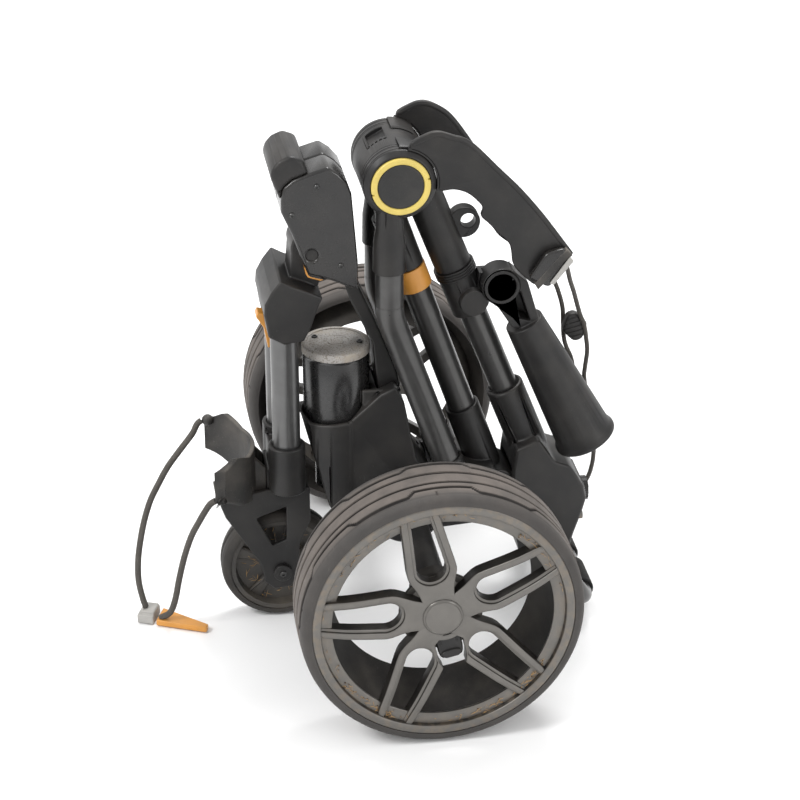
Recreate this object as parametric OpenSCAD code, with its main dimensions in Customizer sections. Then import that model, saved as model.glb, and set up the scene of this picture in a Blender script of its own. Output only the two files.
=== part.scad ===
// Electric golf trolley, folded and standing on its wheels.
// Millimetres. X runs along the rear axle, -Y is the front, Z is up from the ground.

/* [Rear wheels] */
// Diameter over the tyre's crown
wheel_d = 294; // [240:1:350]
// Width of a tyre
wheel_w = 80; // [60:1:95]
// Overall width over both tyres
track_w = 570; // [500:1:700]
// Radial height of rubber outside the rim
tyre_h = 12; // [9:1:14]
// Thickness of the rim's barrel
rim_t = 9; // [5:1:12]
// Thickness of a spoke along the axle
spoke_t = 12; // [8:1:16]
// Radius of the wheel hub
hub_r = 25; // [20:1:27]
// Radius of the axle's journal
axle_r = 8; // [6:0.5:10]
// Spoke pairs in a wheel
spoke_pairs = 5; // [4:1:6]

/* [Front wheel and leg] */
// Diameter of the front wheel
front_d = 132; // [100:1:150]
// Width of the front wheel
front_w = 36; // [26:1:40]
// Diameter of a leg tube
leg_d = 30; // [24:1:32]
// Distance between the leg tubes' centres
leg_gap = 56; // [52:1:64]
// Distance of the front wheel ahead of the axle
front_y = 136; // [128:1:142]

/* [Stem] */
// Diameter of the two bent stem tubes
stem_d = 30; // [24:1:32]
// Distance between the bent stem tubes' centres
stem_gap = 76; // [72:1:84]
// Diameter of the straight strut
strut_d = 30; // [22:1:32]
// Wall of every tube
tube_wall = 2; // [1.5:0.5:3]
// Slope of the stem from upright
stem_slope = 19.3; // [18:0.1:20]
// Radius of the round hinge at the top
barrel_r = 38; // [32:1:40]
// Length of the round hinge
barrel_w = 108; // [100:1:120]
// Outside diameter of the handle's sleeve
sleeve_d = 40; // [38:1:42]
// Diameter of the handle's sliding tube
slide_d = 30; // [24:1:31]

/* [Motor] */
// Diameter of the motor's can
motor_d = 72; // [50:1:74]
// Height of the motor's end face above the axle
motor_top = 184; // [172:1:196]

/* [Holder] */
// Length of the umbrella cup
cup_len = 165; // [140:1:170]
// Radius of the cup's mouth
cup_r = 31; // [26:1:33]
// Wall of the cup
cup_wall = 2.5; // [2:0.5:4]

/* [Cords] */
// Diameter of the lower elastic cord
cord_d = 7; // [5:0.5:8]
// Diameter of the upper elastic cord
thin_cord_d = 5; // [4:0.5:6]

/* [Fits] */
// Radial clearance of a shaft in its bore
run = 0.05; // [0.02:0.01:0.09]
// Gap between faces that turn past each other
gap = 0.3; // [0.3:0.1:0.6]

/* [Hidden] */
$fn = 64;
lap = 2;                          // overlap of a straight with a bend
bend_swell = 0.3;                 // a bend is this much fatter than its straights
wheel_r = wheel_d / 2;
front_r = front_d / 2;
half_w = track_w / 2;
rim_r = wheel_r - tyre_h;
az = wheel_r;                     // height of the axle
motor_y = -69.5;
motor_r = motor_d / 2;
leg_y = -128;
leg_pivot = [-98, az + 303];
barrel = [-7, az + 379];
stem_y = barrel[0] - 10;
stem_pivot = [104, az + 1];
tan_s = tan(stem_slope);
wheel_in = half_w - wheel_w;
hub_face = half_w - 12;           // outer face of a wheel's hub
cap_r = 20.8;
cap_deep = 5;                     // depth of the centre cap's seat
shaft_end = hub_face - cap_deep - gap;
row_y = -11.6;                    // puts the origin under the middle of the trolley's length
core_w = 2 * 29.7;
front_c = [-front_y, front_r];
slide_dir = [0, 0.363, -0.932];
slide_flat = [slide_dir[1], slide_dir[2]];
slide_across = [-slide_dir[2], slide_dir[1]];
slide_p = [0, 27, az + 343];
handle_travel = 60;
foot_r = 24;                      // knuckle of the stem's foot
foot_x = 28;

// ---- helpers: shapes pushed out along X, and rods ----
module side(x0, x1) {
    translate([x0, 0, 0]) rotate([90, 0, 90]) linear_extrude(x1 - x0) children();
}
module bar(r, x0, x1, p) {
    translate([x0, p[0], p[1]]) rotate([0, 90, 0]) cylinder(r = r, h = x1 - x0);
}
module ring(ro, ri, x0, x1, p) {
    difference() {
        bar(ro, x0, x1, p);
        bar(ri, x0 - 1, x1 + 1, p);
    }
}
module rod(a, b, r) {
    v = b - a;
    translate(a) rotate([0, acos(v[2] / norm(v)), atan2(v[1], v[0])]) cylinder(r = r, h = norm(v));
}
module pipe(a, b, r, wall) {
    u = (b - a) / norm(b - a);
    difference() {
        rod(a, b, r);
        rod(a - u, b + u, r - wall);
    }
}
// A bent tube in a plane of constant X: straight, one bend, straight. a0 is the heading from +Y.
// Both straights are bored from their ends up to the bend.
module bent_tube(p, r, wall, a0, l1, bend_r, turn, l2) {
    translate(p) rotate([90, 0, 90]) rotate([0, 0, a0]) difference() {
        union() {
            rotate([0, 90, 0]) cylinder(r = r, h = l1 + lap);
            translate([l1, bend_r, 0]) rotate(-90)
                rotate_extrude(angle = turn) translate([bend_r, 0]) circle(r + bend_swell);
            translate([l1 + bend_r * sin(turn), bend_r * (1 - cos(turn)), 0]) rotate(turn)
                translate([-lap, 0, 0]) rotate([0, 90, 0]) cylinder(r = r, h = l2 + lap);
        }
        translate([-1, 0, 0]) rotate([0, 90, 0]) cylinder(r = r - wall, h = l1 - 3);
        translate([l1 + bend_r * sin(turn), bend_r * (1 - cos(turn)), 0]) rotate(turn)
            translate([6, 0, 0]) rotate([0, 90, 0]) cylinder(r = r - wall, h = l2);
    }
}
module flip(far) {
    if (far) mirror([1, 0, 0]) children();
    else children();
}
module cord(points, d) {
    for (i = [0 : len(points) - 2]) hull() {
        translate(points[i]) sphere(d = d, $fn = 10);
        translate(points[i + 1]) sphere(d = d, $fn = 10);
    }
}
module place() { translate([0, row_y, 0]) children(); }
function slide_at(t) = slide_p + t * slide_dir;

// ---- chassis: gearbox, motor, axle, spine and hinge housing ----
case_profile = [[-111, az + 109], [-100, az + 100], [-60, az + 105], [-27, az + 135], [-10, az + 143],
    [-1, az + 123], [12, az + 53], [30, az + 23], [36, az], [30, az - 22], [10, az - 37],
    [-20, az - 39], [-60, az - 35], [-84, az + 3]];
spine_profile = [[-72, az + 293], [-64, az + 266], [-57, az + 242], [-46, az + 218], [-32.5, az + 188],
    [-30, az + 158], [-25, az + 125], [-20, az + 115], [-12, az + 115], [-5, az + 123], [-3, az + 137],
    [-7, az + 156], [-16, az + 180], [-30, az + 217], [-48, az + 259], [-52, az + 293]];
housing_profile = [[-129, az + 365], [-127, az + 379], [-116, az + 388], [-100, az + 394], [-80, az + 400],
    [-69, az + 392], [-60, az + 381], [-56, az + 369], [-50, az + 293], [-50, az + 260], [-64, az + 266],
    [-78, az + 273], [-90, az + 277], [-102, az + 281], [-110, az + 302], [-118, az + 327], [-129, az + 353]];
case_w = 80;
spine_w = 44;
housing_w = 80;

module gearbox_case() {
    color("dimgray") place() difference() {
        union() {
            intersection() {
                side(-case_w / 2 - 2, case_w / 2 + 2) polygon(case_profile);
                union() {
                    translate([0, motor_y, 0]) cylinder(r = motor_r + 6, h = az + 200);
                    translate([-case_w / 2, motor_y, 0]) cube([case_w, 140, az + 200]);
                }
            }
            bar(38, -62, 62, [0, az]);
            for (x = [-30, 30]) translate([x - 3, -46, az + 10]) cube([6, 42, 128]);
        }
        translate([0, motor_y, az + 91]) cylinder(r = motor_r, h = 200);
        translate([0, motor_y, az + 13]) cylinder(r = 24, h = 200);
        bar(axle_r, -100, 100, [0, az]);
        side(-spine_w / 2, spine_w / 2) polygon(spine_profile);
    }
}
module motor_can() {
    color("black") place() translate([0, motor_y, 0]) union() {
        translate([0, 0, az + 91]) cylinder(r = motor_r, h = motor_top - 6 - 91);
        translate([0, 0, az + 13]) cylinder(r = 24, h = 80);
    }
}
module motor_end_plate() {
    color("silver") place() translate([0, motor_y, az + motor_top - 6]) cylinder(r = motor_r + 0.8, h = 6);
}
module axle_tubes() {
    color("black") place() for (far = [false, true]) flip(far)
        ring(16, axle_r, 62, wheel_in - 6, [0, az]);
}
module axle_shaft() {
    color("silver") place() bar(axle_r, -shaft_end, shaft_end, [0, az]);
}
module spine_beam() {
    color("black") place() side(-spine_w / 2, spine_w / 2) polygon(spine_profile);
}
module leg_slot() {
    bar(23, -22, 22, leg_pivot);
    side(-22, 22) polygon([for (p = [[20, -10], [26, -60], [-70, -60], [-70, 60], [-28, 35], [-12, 22]])
        leg_pivot + p]);
}
// The release pads sit in pockets under the housing and travel up by pad_travel.
pad_travel = 3;
pad_x = [24, 38.5];
pad_profile = [[-105.5, az + 289], [-104.8, az + 282], [-102.5, az + 278], [-90, az + 273.6], [-87, az + 274],
    [-87, az + 289]];
pad_pocket = [[-105.5 - gap, az + 289 + pad_travel + gap], [-105.5 - gap, az + 260],
    [-87 + gap, az + 260], [-87 + gap, az + 289 + pad_travel + gap]];
module housing_half(x0, x1) {
    difference() {
        side(x0, x1) polygon(housing_profile);
        leg_slot();
        side(-spine_w / 2, spine_w / 2) polygon(spine_profile);
        bar(6, -60, 60, leg_pivot);
        for (far = [false, true]) flip(far) side(pad_x[0] - gap, pad_x[1] + gap)
            polygon(pad_pocket);
    }
}
module housing_near() { color("black") place() housing_half(0, housing_w / 2); }
module housing_far() { color("black") place() housing_half(-housing_w / 2, 0); }
module housing_cap() {
    color("black") place() side(-housing_w / 2 + 1, housing_w / 2 - 1) polygon([
        [-129, az + 365], [-139, az + 391], [-137, az + 401], [-130, az + 409], [-118, az + 414],
        [-105, az + 409], [-100, az + 394], [-116, az + 388], [-127, az + 379]]);
}
module leg_hinge_pin() { color("silver") place() bar(6, -housing_w / 2 + 2, housing_w / 2 - 2, leg_pivot); }
module release_bar() {
    color("goldenrod") place() for (far = [false, true]) flip(far)
        side(pad_x[0], pad_x[1]) polygon(pad_profile);
}
ear_x = stem_gap / 2 + stem_d / 2 + 5;
module stem_ears() {
    color("black") place() for (far = [false, true]) flip(far) difference() {
        union() {
            bar(24, ear_x, ear_x + 8, [0, az]);
            bar(17, ear_x, ear_x + 8, stem_pivot);
            side(ear_x, ear_x + 8) polygon([[0, az + 22], [stem_pivot[0], stem_pivot[1] + 16],
                [stem_pivot[0], stem_pivot[1] - 16], [0, az - 22]]);
        }
        bar(axle_r, 0, 100, [0, az]);
        bar(38, 0, 62, [0, az]);
        ring(16, 1, 62, 200, [0, az]);
        bar(7, 0, 100, stem_pivot);
    }
}
module stem_pivot_pin() { color("silver") place() bar(7, -ear_x - 10, ear_x + 10, stem_pivot); }

// ---- rear wheels ----
lip_r = rim_r + 1.5;
module tyre() {
    color("dimgray") place() translate([0, 0, az]) rotate([0, 90, 0]) rotate_extrude($fn = 128) polygon([
        [rim_r, wheel_in], [wheel_r - 5, wheel_in], [wheel_r - 1.5, wheel_in + 6],
        [wheel_r - 0.4, wheel_in + 18],
        [wheel_r - 2.4, wheel_in + 19], [wheel_r - 2.4, wheel_in + 22], [wheel_r, wheel_in + 23],
        [wheel_r, wheel_in + wheel_w / 2 - 2], [wheel_r - 2, wheel_in + wheel_w / 2 - 1],
        [wheel_r - 2, wheel_in + wheel_w / 2 + 2], [wheel_r, wheel_in + wheel_w / 2 + 3],
        [wheel_r, half_w - 23], [wheel_r - 2.4, half_w - 22], [wheel_r - 2.4, half_w - 19],
        [wheel_r - 0.4, half_w - 18], [wheel_r - 1.5, half_w - 6], [wheel_r - 5, half_w], [rim_r, half_w]]);
}
// A spoke pair is two bars round a pocket that is widest near the hub. 2D, pointing along +X.
pocket_end = 57.5;                // centre of the pocket's round end
pocket_r = 14;
module spoke_pair() {
    outer = rim_r - rim_t + 2;
    difference() {
        polygon([[12, -15], [32, -17], [52, -25.5], [outer, -20], [outer, 20], [52, 25.5], [32, 17], [12, 15]]);
        polygon(concat([for (a = [90 : 15 : 270]) [pocket_end + pocket_r * cos(a), pocket_r * sin(a)]],
            [[outer - 9, -9], [outer - 9, 9]]));
    }
}
// The catch lies midway between two spoke pairs.
module catch_place() { translate([0, 0, az]) rotate([12, 0, 0]) translate([0, 0, -az]) children(); }
module rim() {
    color("gray") place() difference() {
        union() {
            translate([0, 0, az]) rotate([0, 90, 0]) rotate_extrude($fn = 128) polygon([
                [rim_r - rim_t, wheel_in + 1], [rim_r, wheel_in + 1], [rim_r, half_w - 3],
                [rim_r - 2, half_w],
                [rim_r - rim_t, half_w - 1], [rim_r - rim_t - 4, half_w - 12], [rim_r - rim_t, half_w - 22]]);
            bar(hub_r, wheel_in + 8, hub_face, [0, az]);
            translate([half_w - 14 - spoke_t, 0, az]) rotate([90, 0, 90]) linear_extrude(spoke_t + 4) union()
                for (i = [0 : spoke_pairs - 1]) rotate(102 + i * 360 / spoke_pairs) spoke_pair();
        }
        bar(axle_r + run, wheel_in, half_w, [0, az]);
        bar(cap_r + 0.2, hub_face - cap_deep, half_w, [0, az]);
        catch_place() translate([hub_face - 16, -14, az - 52]) cube([42, 28, 27.4]);
    }
}
module wheel_cap() {
    color("gray") place() translate([0, 0, az]) rotate([0, 90, 0]) rotate_extrude() polygon([
        [0, hub_face - cap_deep], [cap_r, hub_face - cap_deep], [cap_r, hub_face + 1],
        [cap_r - 2.3, hub_face + 3], [0, hub_face + 3.6]]);
}
module wheel_catch() {
    color("black") place() catch_place() union() {
        translate([hub_face - 13.5, -13.5, az - 51.5]) cube([11, 27, 26]);
        translate([hub_face - 2.5, -9, az - 46]) cube([3, 18, 14]);
    }
}
module rim_near() { rim(); }
module tyre_near() { tyre(); }
module wheel_cap_near() { wheel_cap(); }
module wheel_catch_near() { wheel_catch(); }
module rim_far() { mirror([1, 0, 0]) rim(); }
module tyre_far() { mirror([1, 0, 0]) tyre(); }
module wheel_cap_far() { mirror([1, 0, 0]) wheel_cap(); }
module wheel_catch_far() { mirror([1, 0, 0]) wheel_catch(); }

// ---- front leg, fork, front wheel and bag cradle ----
leg_x = leg_gap / 2;
leg_r = leg_d / 2;
sleeve_x = leg_x + leg_r + 3;
socket_top = front_c[1] + 160;
socket_low = front_c[1] + 112;
leg_top = leg_pivot[1] - 72;
module leg_tube(x) {
    color("dimgray") place() pipe([x, leg_y, socket_low], [x, leg_y, leg_top], leg_r, tube_wall);
}
module leg_tube_near() { leg_tube(leg_x); }
module leg_tube_far() { leg_tube(-leg_x); }
sleeve_profile = [[-146, -88], [-148, -73], [-150, -62], [-149, -50], [-142, -37], [-132, -24],
    [-120, -31], [-104, -38], [-88, -46], [-92, -54], [-101, -80], [-109, -95], [-130, -97]];
latch_pivot = [-139, az + 205];
module leg_sleeve() {
    color("black") place() difference() {
        union() {
            side(-sleeve_x, sleeve_x) polygon([for (p = sleeve_profile) [p[0], leg_pivot[1] + p[1]]]);
            bar(20, -21.7, 21.7, leg_pivot);
            side(-21.7, 21.7) polygon([for (p = [[-22, -36], [-19, 4], [18, -4], [8, -44]]) leg_pivot + p]);
        }
        bar(6 + run, -30, 30, leg_pivot);
        for (x = [-leg_x, leg_x]) translate([x, leg_y, leg_top - 100]) cylinder(r = leg_r, h = 100);
        translate([-8 - gap, -170, az + 160]) cube([16 + 2 * gap, 44, 72]);
        bar(3 + run, -14, 14, latch_pivot);
    }
}
module leg_latch() {
    color("goldenrod") place() union() {
        side(-8, 8) polygon([for (p = [[-4, -20], [2, -18], [4, 2], [-6, 20], [-14, 22], [-16, 17], [-8, 4]])
            latch_pivot + p]);
        bar(3, -12, 12, latch_pivot);
    }
}
module fork_crown() {
    color("black") place() difference() {
        union() {
            for (x = [-leg_x, leg_x]) translate([x, leg_y, 0]) {
                translate([0, 0, socket_low - 8]) cylinder(r = leg_r + 5, h = socket_top - socket_low + 8);
            }
            side(-fork_x, fork_x) polygon([[-150, socket_low + 14], [-106, socket_low + 14],
                [-104, socket_low - 30], [-150, socket_low - 34]]);
            translate([-leg_x, -146, socket_low - 6]) cube([leg_gap, 34, 44]);
        }
        for (x = [-leg_x, leg_x]) translate([x, leg_y, socket_low]) cylinder(r = leg_r, h = 80);
        bar(front_r + 6, -front_w / 2 - 3, front_w / 2 + 3, front_c);
    }
}
fork_x = front_w / 2 + 6;
fork_t = 6;
module fork_plate() {
    color("black") place() difference() {
        side(fork_x, fork_x + fork_t) polygon([[-150, socket_low - 8], [-104, socket_low - 8],
            [-104, front_c[1] + 62], [-116, front_c[1] + 34], [-front_y + 17, front_c[1] - 8],
            [-front_y + 9, front_c[1] - 20], [-front_y - 9, front_c[1] - 22],
            [-front_y - 20, front_c[1] - 12], [-front_y - 24, front_c[1] + 12], [-181, front_c[1] + 47],
            [-197, front_c[1] + 74], [-203, front_c[1] + 92], [-196, front_c[1] + 104],
            [-184, front_c[1] + 96], [-174, front_c[1] + 100]]);
        side(0, 60) polygon([[-163, front_c[1] + 70], [-130, front_c[1] + 82], [-131, front_c[1] + 40],
            [-146, front_c[1] + 34]]);
        bar(6, 0, 60, front_c);
    }
}
module fork_plate_near() { fork_plate(); }
module fork_plate_far() { mirror([1, 0, 0]) fork_plate(); }
module front_axle() {
    color("silver") place() union() {
        bar(6, -fork_x - fork_t, fork_x + fork_t, front_c);
        for (far = [false, true]) flip(far) {
            bar(10, fork_x + fork_t, fork_x + fork_t + 5, front_c);
            bar(9, fork_x - 4, fork_x, front_c);
        }
    }
}
module bag_cradle() {
    wall = 5;
    zc = front_c[1];
    color("black") place() difference() {
        union() {
            intersection() {
                translate([0, -230, zc + 80]) difference() {
                    cylinder(r = 65 + wall, h = 90);
                    translate([0, 0, -1]) cylinder(r = 65, h = 92);
                }
                rotate([90, 0, 0]) linear_extrude(400) polygon([[-62, zc + 112], [-62, zc + 150],
                    [-52, zc + 160], [-34, zc + 150], [34, zc + 150], [52, zc + 160], [62, zc + 150],
                    [62, zc + 112], [46, zc + 98], [24, zc + 90], [-24, zc + 90], [-46, zc + 98]]);
                translate([-100, -226, 0]) cube([200, 200, 400]);
            }
            side(-fork_x + 1, fork_x - 1) polygon([[-206, zc + 92], [-165, zc + 92], [-156, zc + 88],
                [-152, zc + 74], [-160, zc + 70], [-202, zc + 86]]);
            for (x = [-16, 16]) side(x - 3, x + 3) polygon([[-166, zc + 90], [-150, zc + 90],
                [-150, zc + 126], [-166, zc + 144]]);
            translate([-58, -206, zc + 150]) sphere(r = 6.5);
            translate([57, -203, zc + 114]) sphere(r = 6.5);
        }
        for (far = [false, true]) flip(far) translate([fork_x, -215, zc]) cube([fork_t, 80, 108]);
    }
}
module front_rim() {
    color("gray") place() difference() {
        union() {
            ring(front_r - 9, front_r - 16, -front_w / 2 + 2, front_w / 2 - 2, front_c);
            bar(15, -front_w / 2 + 1, front_w / 2 - 1, front_c);
            for (i = [0 : 4]) translate([-5, front_c[0], front_c[1]]) rotate([90, 0, 90])
                rotate(90 + i * 72) linear_extrude(10) translate([10, -6]) square([front_r - 23, 12]);
        }
        bar(6 + run, -40, 40, front_c);
    }
}
module front_tyre() {
    color("dimgray") place() translate([0, front_c[0], front_c[1]]) rotate([0, 90, 0])
        rotate_extrude($fn = 96) polygon([
        [front_r - 9, -front_w / 2], [front_r - 4, -front_w / 2], [front_r, -front_w / 2 + 8],
        [front_r, -4], [front_r - 2, -3], [front_r - 2, 3], [front_r, 4], [front_r, front_w / 2 - 8],
        [front_r - 4, front_w / 2], [front_r - 9, front_w / 2]]);
}

// ---- lower stem ----
stem_x = stem_gap / 2;
stem_r = stem_d / 2;
strut_r = strut_d / 2;
stem_bend_z = az + 241;
foot_z = az + 10;
socket_z = az + 280;
stem_bend_r = 80;
bend_end = [stem_y + stem_bend_r * (1 - cos(stem_slope)), stem_bend_z - stem_bend_r * sin(stem_slope)];
stem_len = (bend_end[1] - foot_z) / cos(stem_slope);
stem_top = az + 320;
function stem_low(x, t) = [x, bend_end[0] + t * sin(stem_slope), bend_end[1] - t * cos(stem_slope)];
module stem_tube(x) {
    color("dimgray") place() bent_tube([x, stem_y, stem_top], stem_r, tube_wall, -90,
        stem_top - stem_bend_z, stem_bend_r, stem_slope, stem_len);
}
module stem_tube_near() { stem_tube(stem_x); }
module stem_tube_far() { stem_tube(-stem_x); }
strut_dir = [0, sin(stem_slope), -cos(stem_slope)];
function strut_at(z) = [0, 18 + (az + 240 - z) * tan_s, z];
module stem_strut() {
    color("dimgray") place() pipe(strut_at(az + 300), strut_at(az + 56), strut_r, tube_wall);
}
ring_r = barrel_r - 7;            // outside of the yellow ring's groove
module barrel_end() {
    color("black") place() difference() {
        union() {
            translate([0, barrel[0], barrel[1]]) rotate([0, 90, 0]) rotate_extrude() polygon([
                [0, 30], [barrel_r, 30], [barrel_r, barrel_w / 2 - 8], [barrel_r - 5, barrel_w / 2 - 3],
                [ring_r, barrel_w / 2 - 3], [ring_r, barrel_w / 2 - 5], [ring_r - 7, barrel_w / 2 - 5],
                [ring_r - 7, barrel_w / 2 - 2],
                [0, barrel_w / 2 - 2]]);
            difference() {
                translate([stem_x, stem_y, 0]) rotate_extrude() polygon([
                    [0, socket_z], [stem_r + 2.5, socket_z], [stem_r + 2, az + 312],
                    [stem_r - 0.5, az + 330], [stem_r - 0.5, az + 370], [0, az + 370]]);
                bar(ring_r + gap, barrel_w / 2 - 6, barrel_w, barrel);
            }
        }
        translate([stem_x, stem_y, socket_z - 1]) cylinder(r = stem_r, h = stem_top - socket_z + 1);
        bar(barrel_r + 0.6, -60, 30, barrel);
    }
}
module barrel_end_near() {
    barrel_end();
    color("black") place() bar(10, -30, 30.5, barrel);
}
module barrel_end_far() { mirror([1, 0, 0]) barrel_end(); }
module end_rings() {
    color("khaki") place() for (far = [false, true]) flip(far)
        ring(ring_r - 0.2, ring_r - 6.8, barrel_w / 2 - 5, barrel_w / 2, barrel);
}
module strut_socket() {
    color("black") place() difference() {
        union() {
            rod(strut_at(az + 328), strut_at(az + 268), strut_r + 3);
            side(-stem_x, stem_x) polygon([[-26, az + 334], [-4, az + 334], [0, az + 312], [-22, az + 308]]);
        }
        rod(strut_at(az + 300), strut_at(az + 200), strut_r);
        for (x = [-stem_x, stem_x]) translate([x, stem_y, az + 200]) cylinder(r = stem_r + 2.6, h = 200);
        bar(barrel_r + 1, -80, 80, barrel);
    }
}
module stem_foot() {
    color("black") place() difference() {
        union() {
            rod(strut_at(az + 96), strut_at(az + 20), strut_r + 4);
            bar(foot_r, -foot_x, foot_x, stem_pivot);
            for (x = [-stem_x, stem_x]) rod(stem_low(x, stem_len - 44), stem_low(x, stem_len + 4), stem_r + 3);
            side(-stem_x, stem_x) polygon([stem_pivot + [-46, -2], stem_pivot + [-38, 34], stem_pivot + [-4, 32],
                stem_pivot + [-4, -12], stem_pivot + [-38, -8]]);
            bar(14, -ear_x + gap, ear_x - gap, stem_pivot);
        }
        for (x = [-stem_x, stem_x]) rod(stem_low(x, stem_len - 90), stem_low(x, stem_len), stem_r);
        rod(strut_at(az + 140), strut_at(az + 56), strut_r);
        bar(7 + run, -100, 100, stem_pivot);
    }
}
module latch_collar() {
    u = strut_dir;
    a = strut_at(az + 268) + 0.8 * u;
    n = [0, -cos(stem_slope), -sin(stem_slope)];
    q = [a + 15 * u + (strut_r + 2) * n, a + 23 * u + (strut_r + 12) * n, a + 30 * u + (strut_r + 11) * n,
        a + 30 * u + (strut_r + 2) * n];
    color("goldenrod") place() difference() {
        union() {
            rod(a, a + 26 * u, strut_r + 3.6);
            side(-9, 9) polygon([for (p = q) [p[1], p[2]]]);
        }
        rod(a - 30 * u, a + 60 * u, strut_r + run);
    }
}

// ---- upper stem: turning core, sleeve, clamp and bag support ----
sleeve_r = sleeve_d / 2;
slide_r = slide_d / 2;
module barrel_core() {
    color("black") place() difference() {
        bar(barrel_r, -core_w / 2, core_w / 2, barrel);
        bar(10 + run, -60, 60, barrel);
        translate([0, barrel[0], barrel[1]]) rotate([30, 0, 0]) {
            translate([-24, -9, barrel_r - 5]) cube([26, 20, 10]);
            for (i = [0 : 4]) translate([8, -10 + 5 * i, barrel_r - 6]) cylinder(r = 1.6, h = 10);
        }
    }
}
module stem_sleeve() {
    color("black") place() difference() {
        union() {
            rod(slide_at(-14), slide_at(84), sleeve_r);
            difference() {
                translate([0, 68, az + 315]) rotate([0, 90, 0]) translate([0, 0, -7]) cylinder(r = 17, h = 14);
                bar(8, -20, 20, [72, az + 317]);
            }
        }
        rod(slide_at(2), slide_at(140), slide_r + run);
        bar(barrel_r, -60, 60, barrel);
    }
}
module sleeve_clamp() {
    a = slide_at(84);
    b = slide_at(140);
    color("black") place() difference() {
        union() {
            rod(a, b, sleeve_r + 1);
            bar(14.5, -10, sleeve_r + 10, [a[1] + 18, a[2] - 34]);
            for (i = [0 : 3]) rod(slide_at(84 + 3 * i), slide_at(85.4 + 3 * i), sleeve_r + 2.5);
            translate([2, 82, az + 238]) cube([18, 24, 24]);
        }
        rod(slide_at(80), slide_at(150), slide_r + run);
        bar(7, 0, 60, hub_p);
        bar(holder_r + gap, cup_x - 14, 80, hub_p);
    }
}
arm_near = [[3, 422], [6, 426], [23, 434], [33, 435], [44, 431], [64, 423], [96, 390], [117, 368],
    [139, 341], [155, 319], [174, 292], [165, 285], [138, 255], [131, 260], [119, 272], [112, 282], [111, 296], [108, 307],
    [94, 320], [87, 329], [76, 339], [81, 348], [65, 365], [49, 371], [37, 369]];
arm_far = [[3, 422], [6, 426], [23, 434], [33, 435], [44, 431], [60, 419], [80, 391], [108, 345], [138, 309],
    [150, 293], [130, 263], [112, 278], [100, 308], [84, 333], [66, 360], [49, 369], [37, 369]];
module arm(points, x0, x1) {
    difference() {
        side(x0, x1) polygon([for (p = points) [p[0], p[1] + az]]);
        bar(barrel_r + 0.8, -80, 80, barrel);
    }
}
// A saddle over the top of the round hinge: it rests on the core and passes clear of the ends.
module saddle(x0, x1) {
    intersection() {
        union() {
            ring(barrel_r + 5, barrel_r + 0.8, x0, x1, barrel);
            ring(barrel_r + 5, barrel_r, max(x0, -24), min(x1, 24), barrel);
        }
        side(x0, x1) polygon([barrel, barrel + [0, 60], barrel + [60, 50]]);
    }
}
module support_arm_near() {
    color("black") place() union() {
        arm(arm_near, 42, 48);
        saddle(0, 43);
    }
}
module support_arm_far() {
    color("black") place() union() {
        arm(arm_far, -48, -42);
        saddle(-43, 0);
    }
}
module support_bar() {
    color("dimgray") place() union() {
        intersection() {
            rod([54, 150, az + 288], [-54, 132, az + 288], 7);
            translate([-42, 100, az + 250]) cube([84, 80, 80]);
        }
        side(48, 58) polygon([for (p = [[174, 292], [165, 285], [138, 255], [134, 262],
            [160, 292], [168, 299]]) [p[0], p[1] + az]]);
    }
}

// ---- sliding handle ----
module slide_tube() {
    color("dimgray") place() pipe(slide_at(10), slide_at(290), slide_r, tube_wall);
}
module console_shell() {
    color("black") place() difference() {
        union() {
            rod(slide_at(243), slide_at(330), slide_r + 6);
            side(-36, 36) polygon([for (p = [[124, 52], [150, 62], [168, 34], [185, 27], [191, 18], [201, 1],
                [205, -16], [201, -32], [192, -60], [186, -84], [150, -96], [130, -80], [121, -30], [120, 22]])
                [p[0], p[1] + az]]);
        }
        bar(foot_r + 0.8, -foot_x - 1, foot_x + 1, stem_pivot);
        side(-foot_x - 1, foot_x + 1) polygon([stem_pivot, stem_pivot + (foot_r + 0.8) * slide_across,
            stem_pivot + (foot_r + 0.8) * slide_across - handle_travel * slide_flat,
            stem_pivot - handle_travel * slide_flat]);
        rod(slide_at(200), slide_at(290), slide_r);
        side(-28, 28) polygon([for (p = [[199, 1], [210, 1], [210, -60], [190, -60], [199, -32], [202, -16]])
            [p[0], p[1] + az]]);
        bar(11, -60, 60, [160, az - 62]);
    }
}
dial_r = 13;
button_r = 5;
module display_panel() {
    color("dimgray") place() difference() {
        side(-28, 28) polygon([for (p = [[199, 1], [203, -1], [206.5, -16], [202.5, -33], [194, -60], [190, -60],
            [199, -32], [202, -16]]) [p[0], p[1] + az]]);
        translate([0, 180, az - 22]) rotate([-90, 0, 0]) cylinder(r = dial_r + 0.6 + gap, h = 60);
        translate([18, 180, az - 46]) rotate([-90, 0, 0]) cylinder(r = button_r + gap, h = 60);
    }
}
module speed_dial() {
    color("black") place() translate([0, 203, az - 22]) rotate([-90, 0, 0]) union() {
        cylinder(r = dial_r, h = 10);
        for (i = [0 : 11]) rotate(i * 30) translate([dial_r - 0.4, 0, 1]) cylinder(r = 1, h = 9, $fn = 16);
    }
}
module power_button() {
    color("gray") place() translate([18, 200, az - 46]) rotate([-90, 0, 0]) cylinder(r = button_r, h = 5);
}
loop_x = 88;
loop_len = 66.6;
loop_bend = 26;
loop_tilt = -57.3;
module loop_place() { translate([0, 160, az - 62]) rotate([loop_tilt, 0, 0]) children(); }
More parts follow.
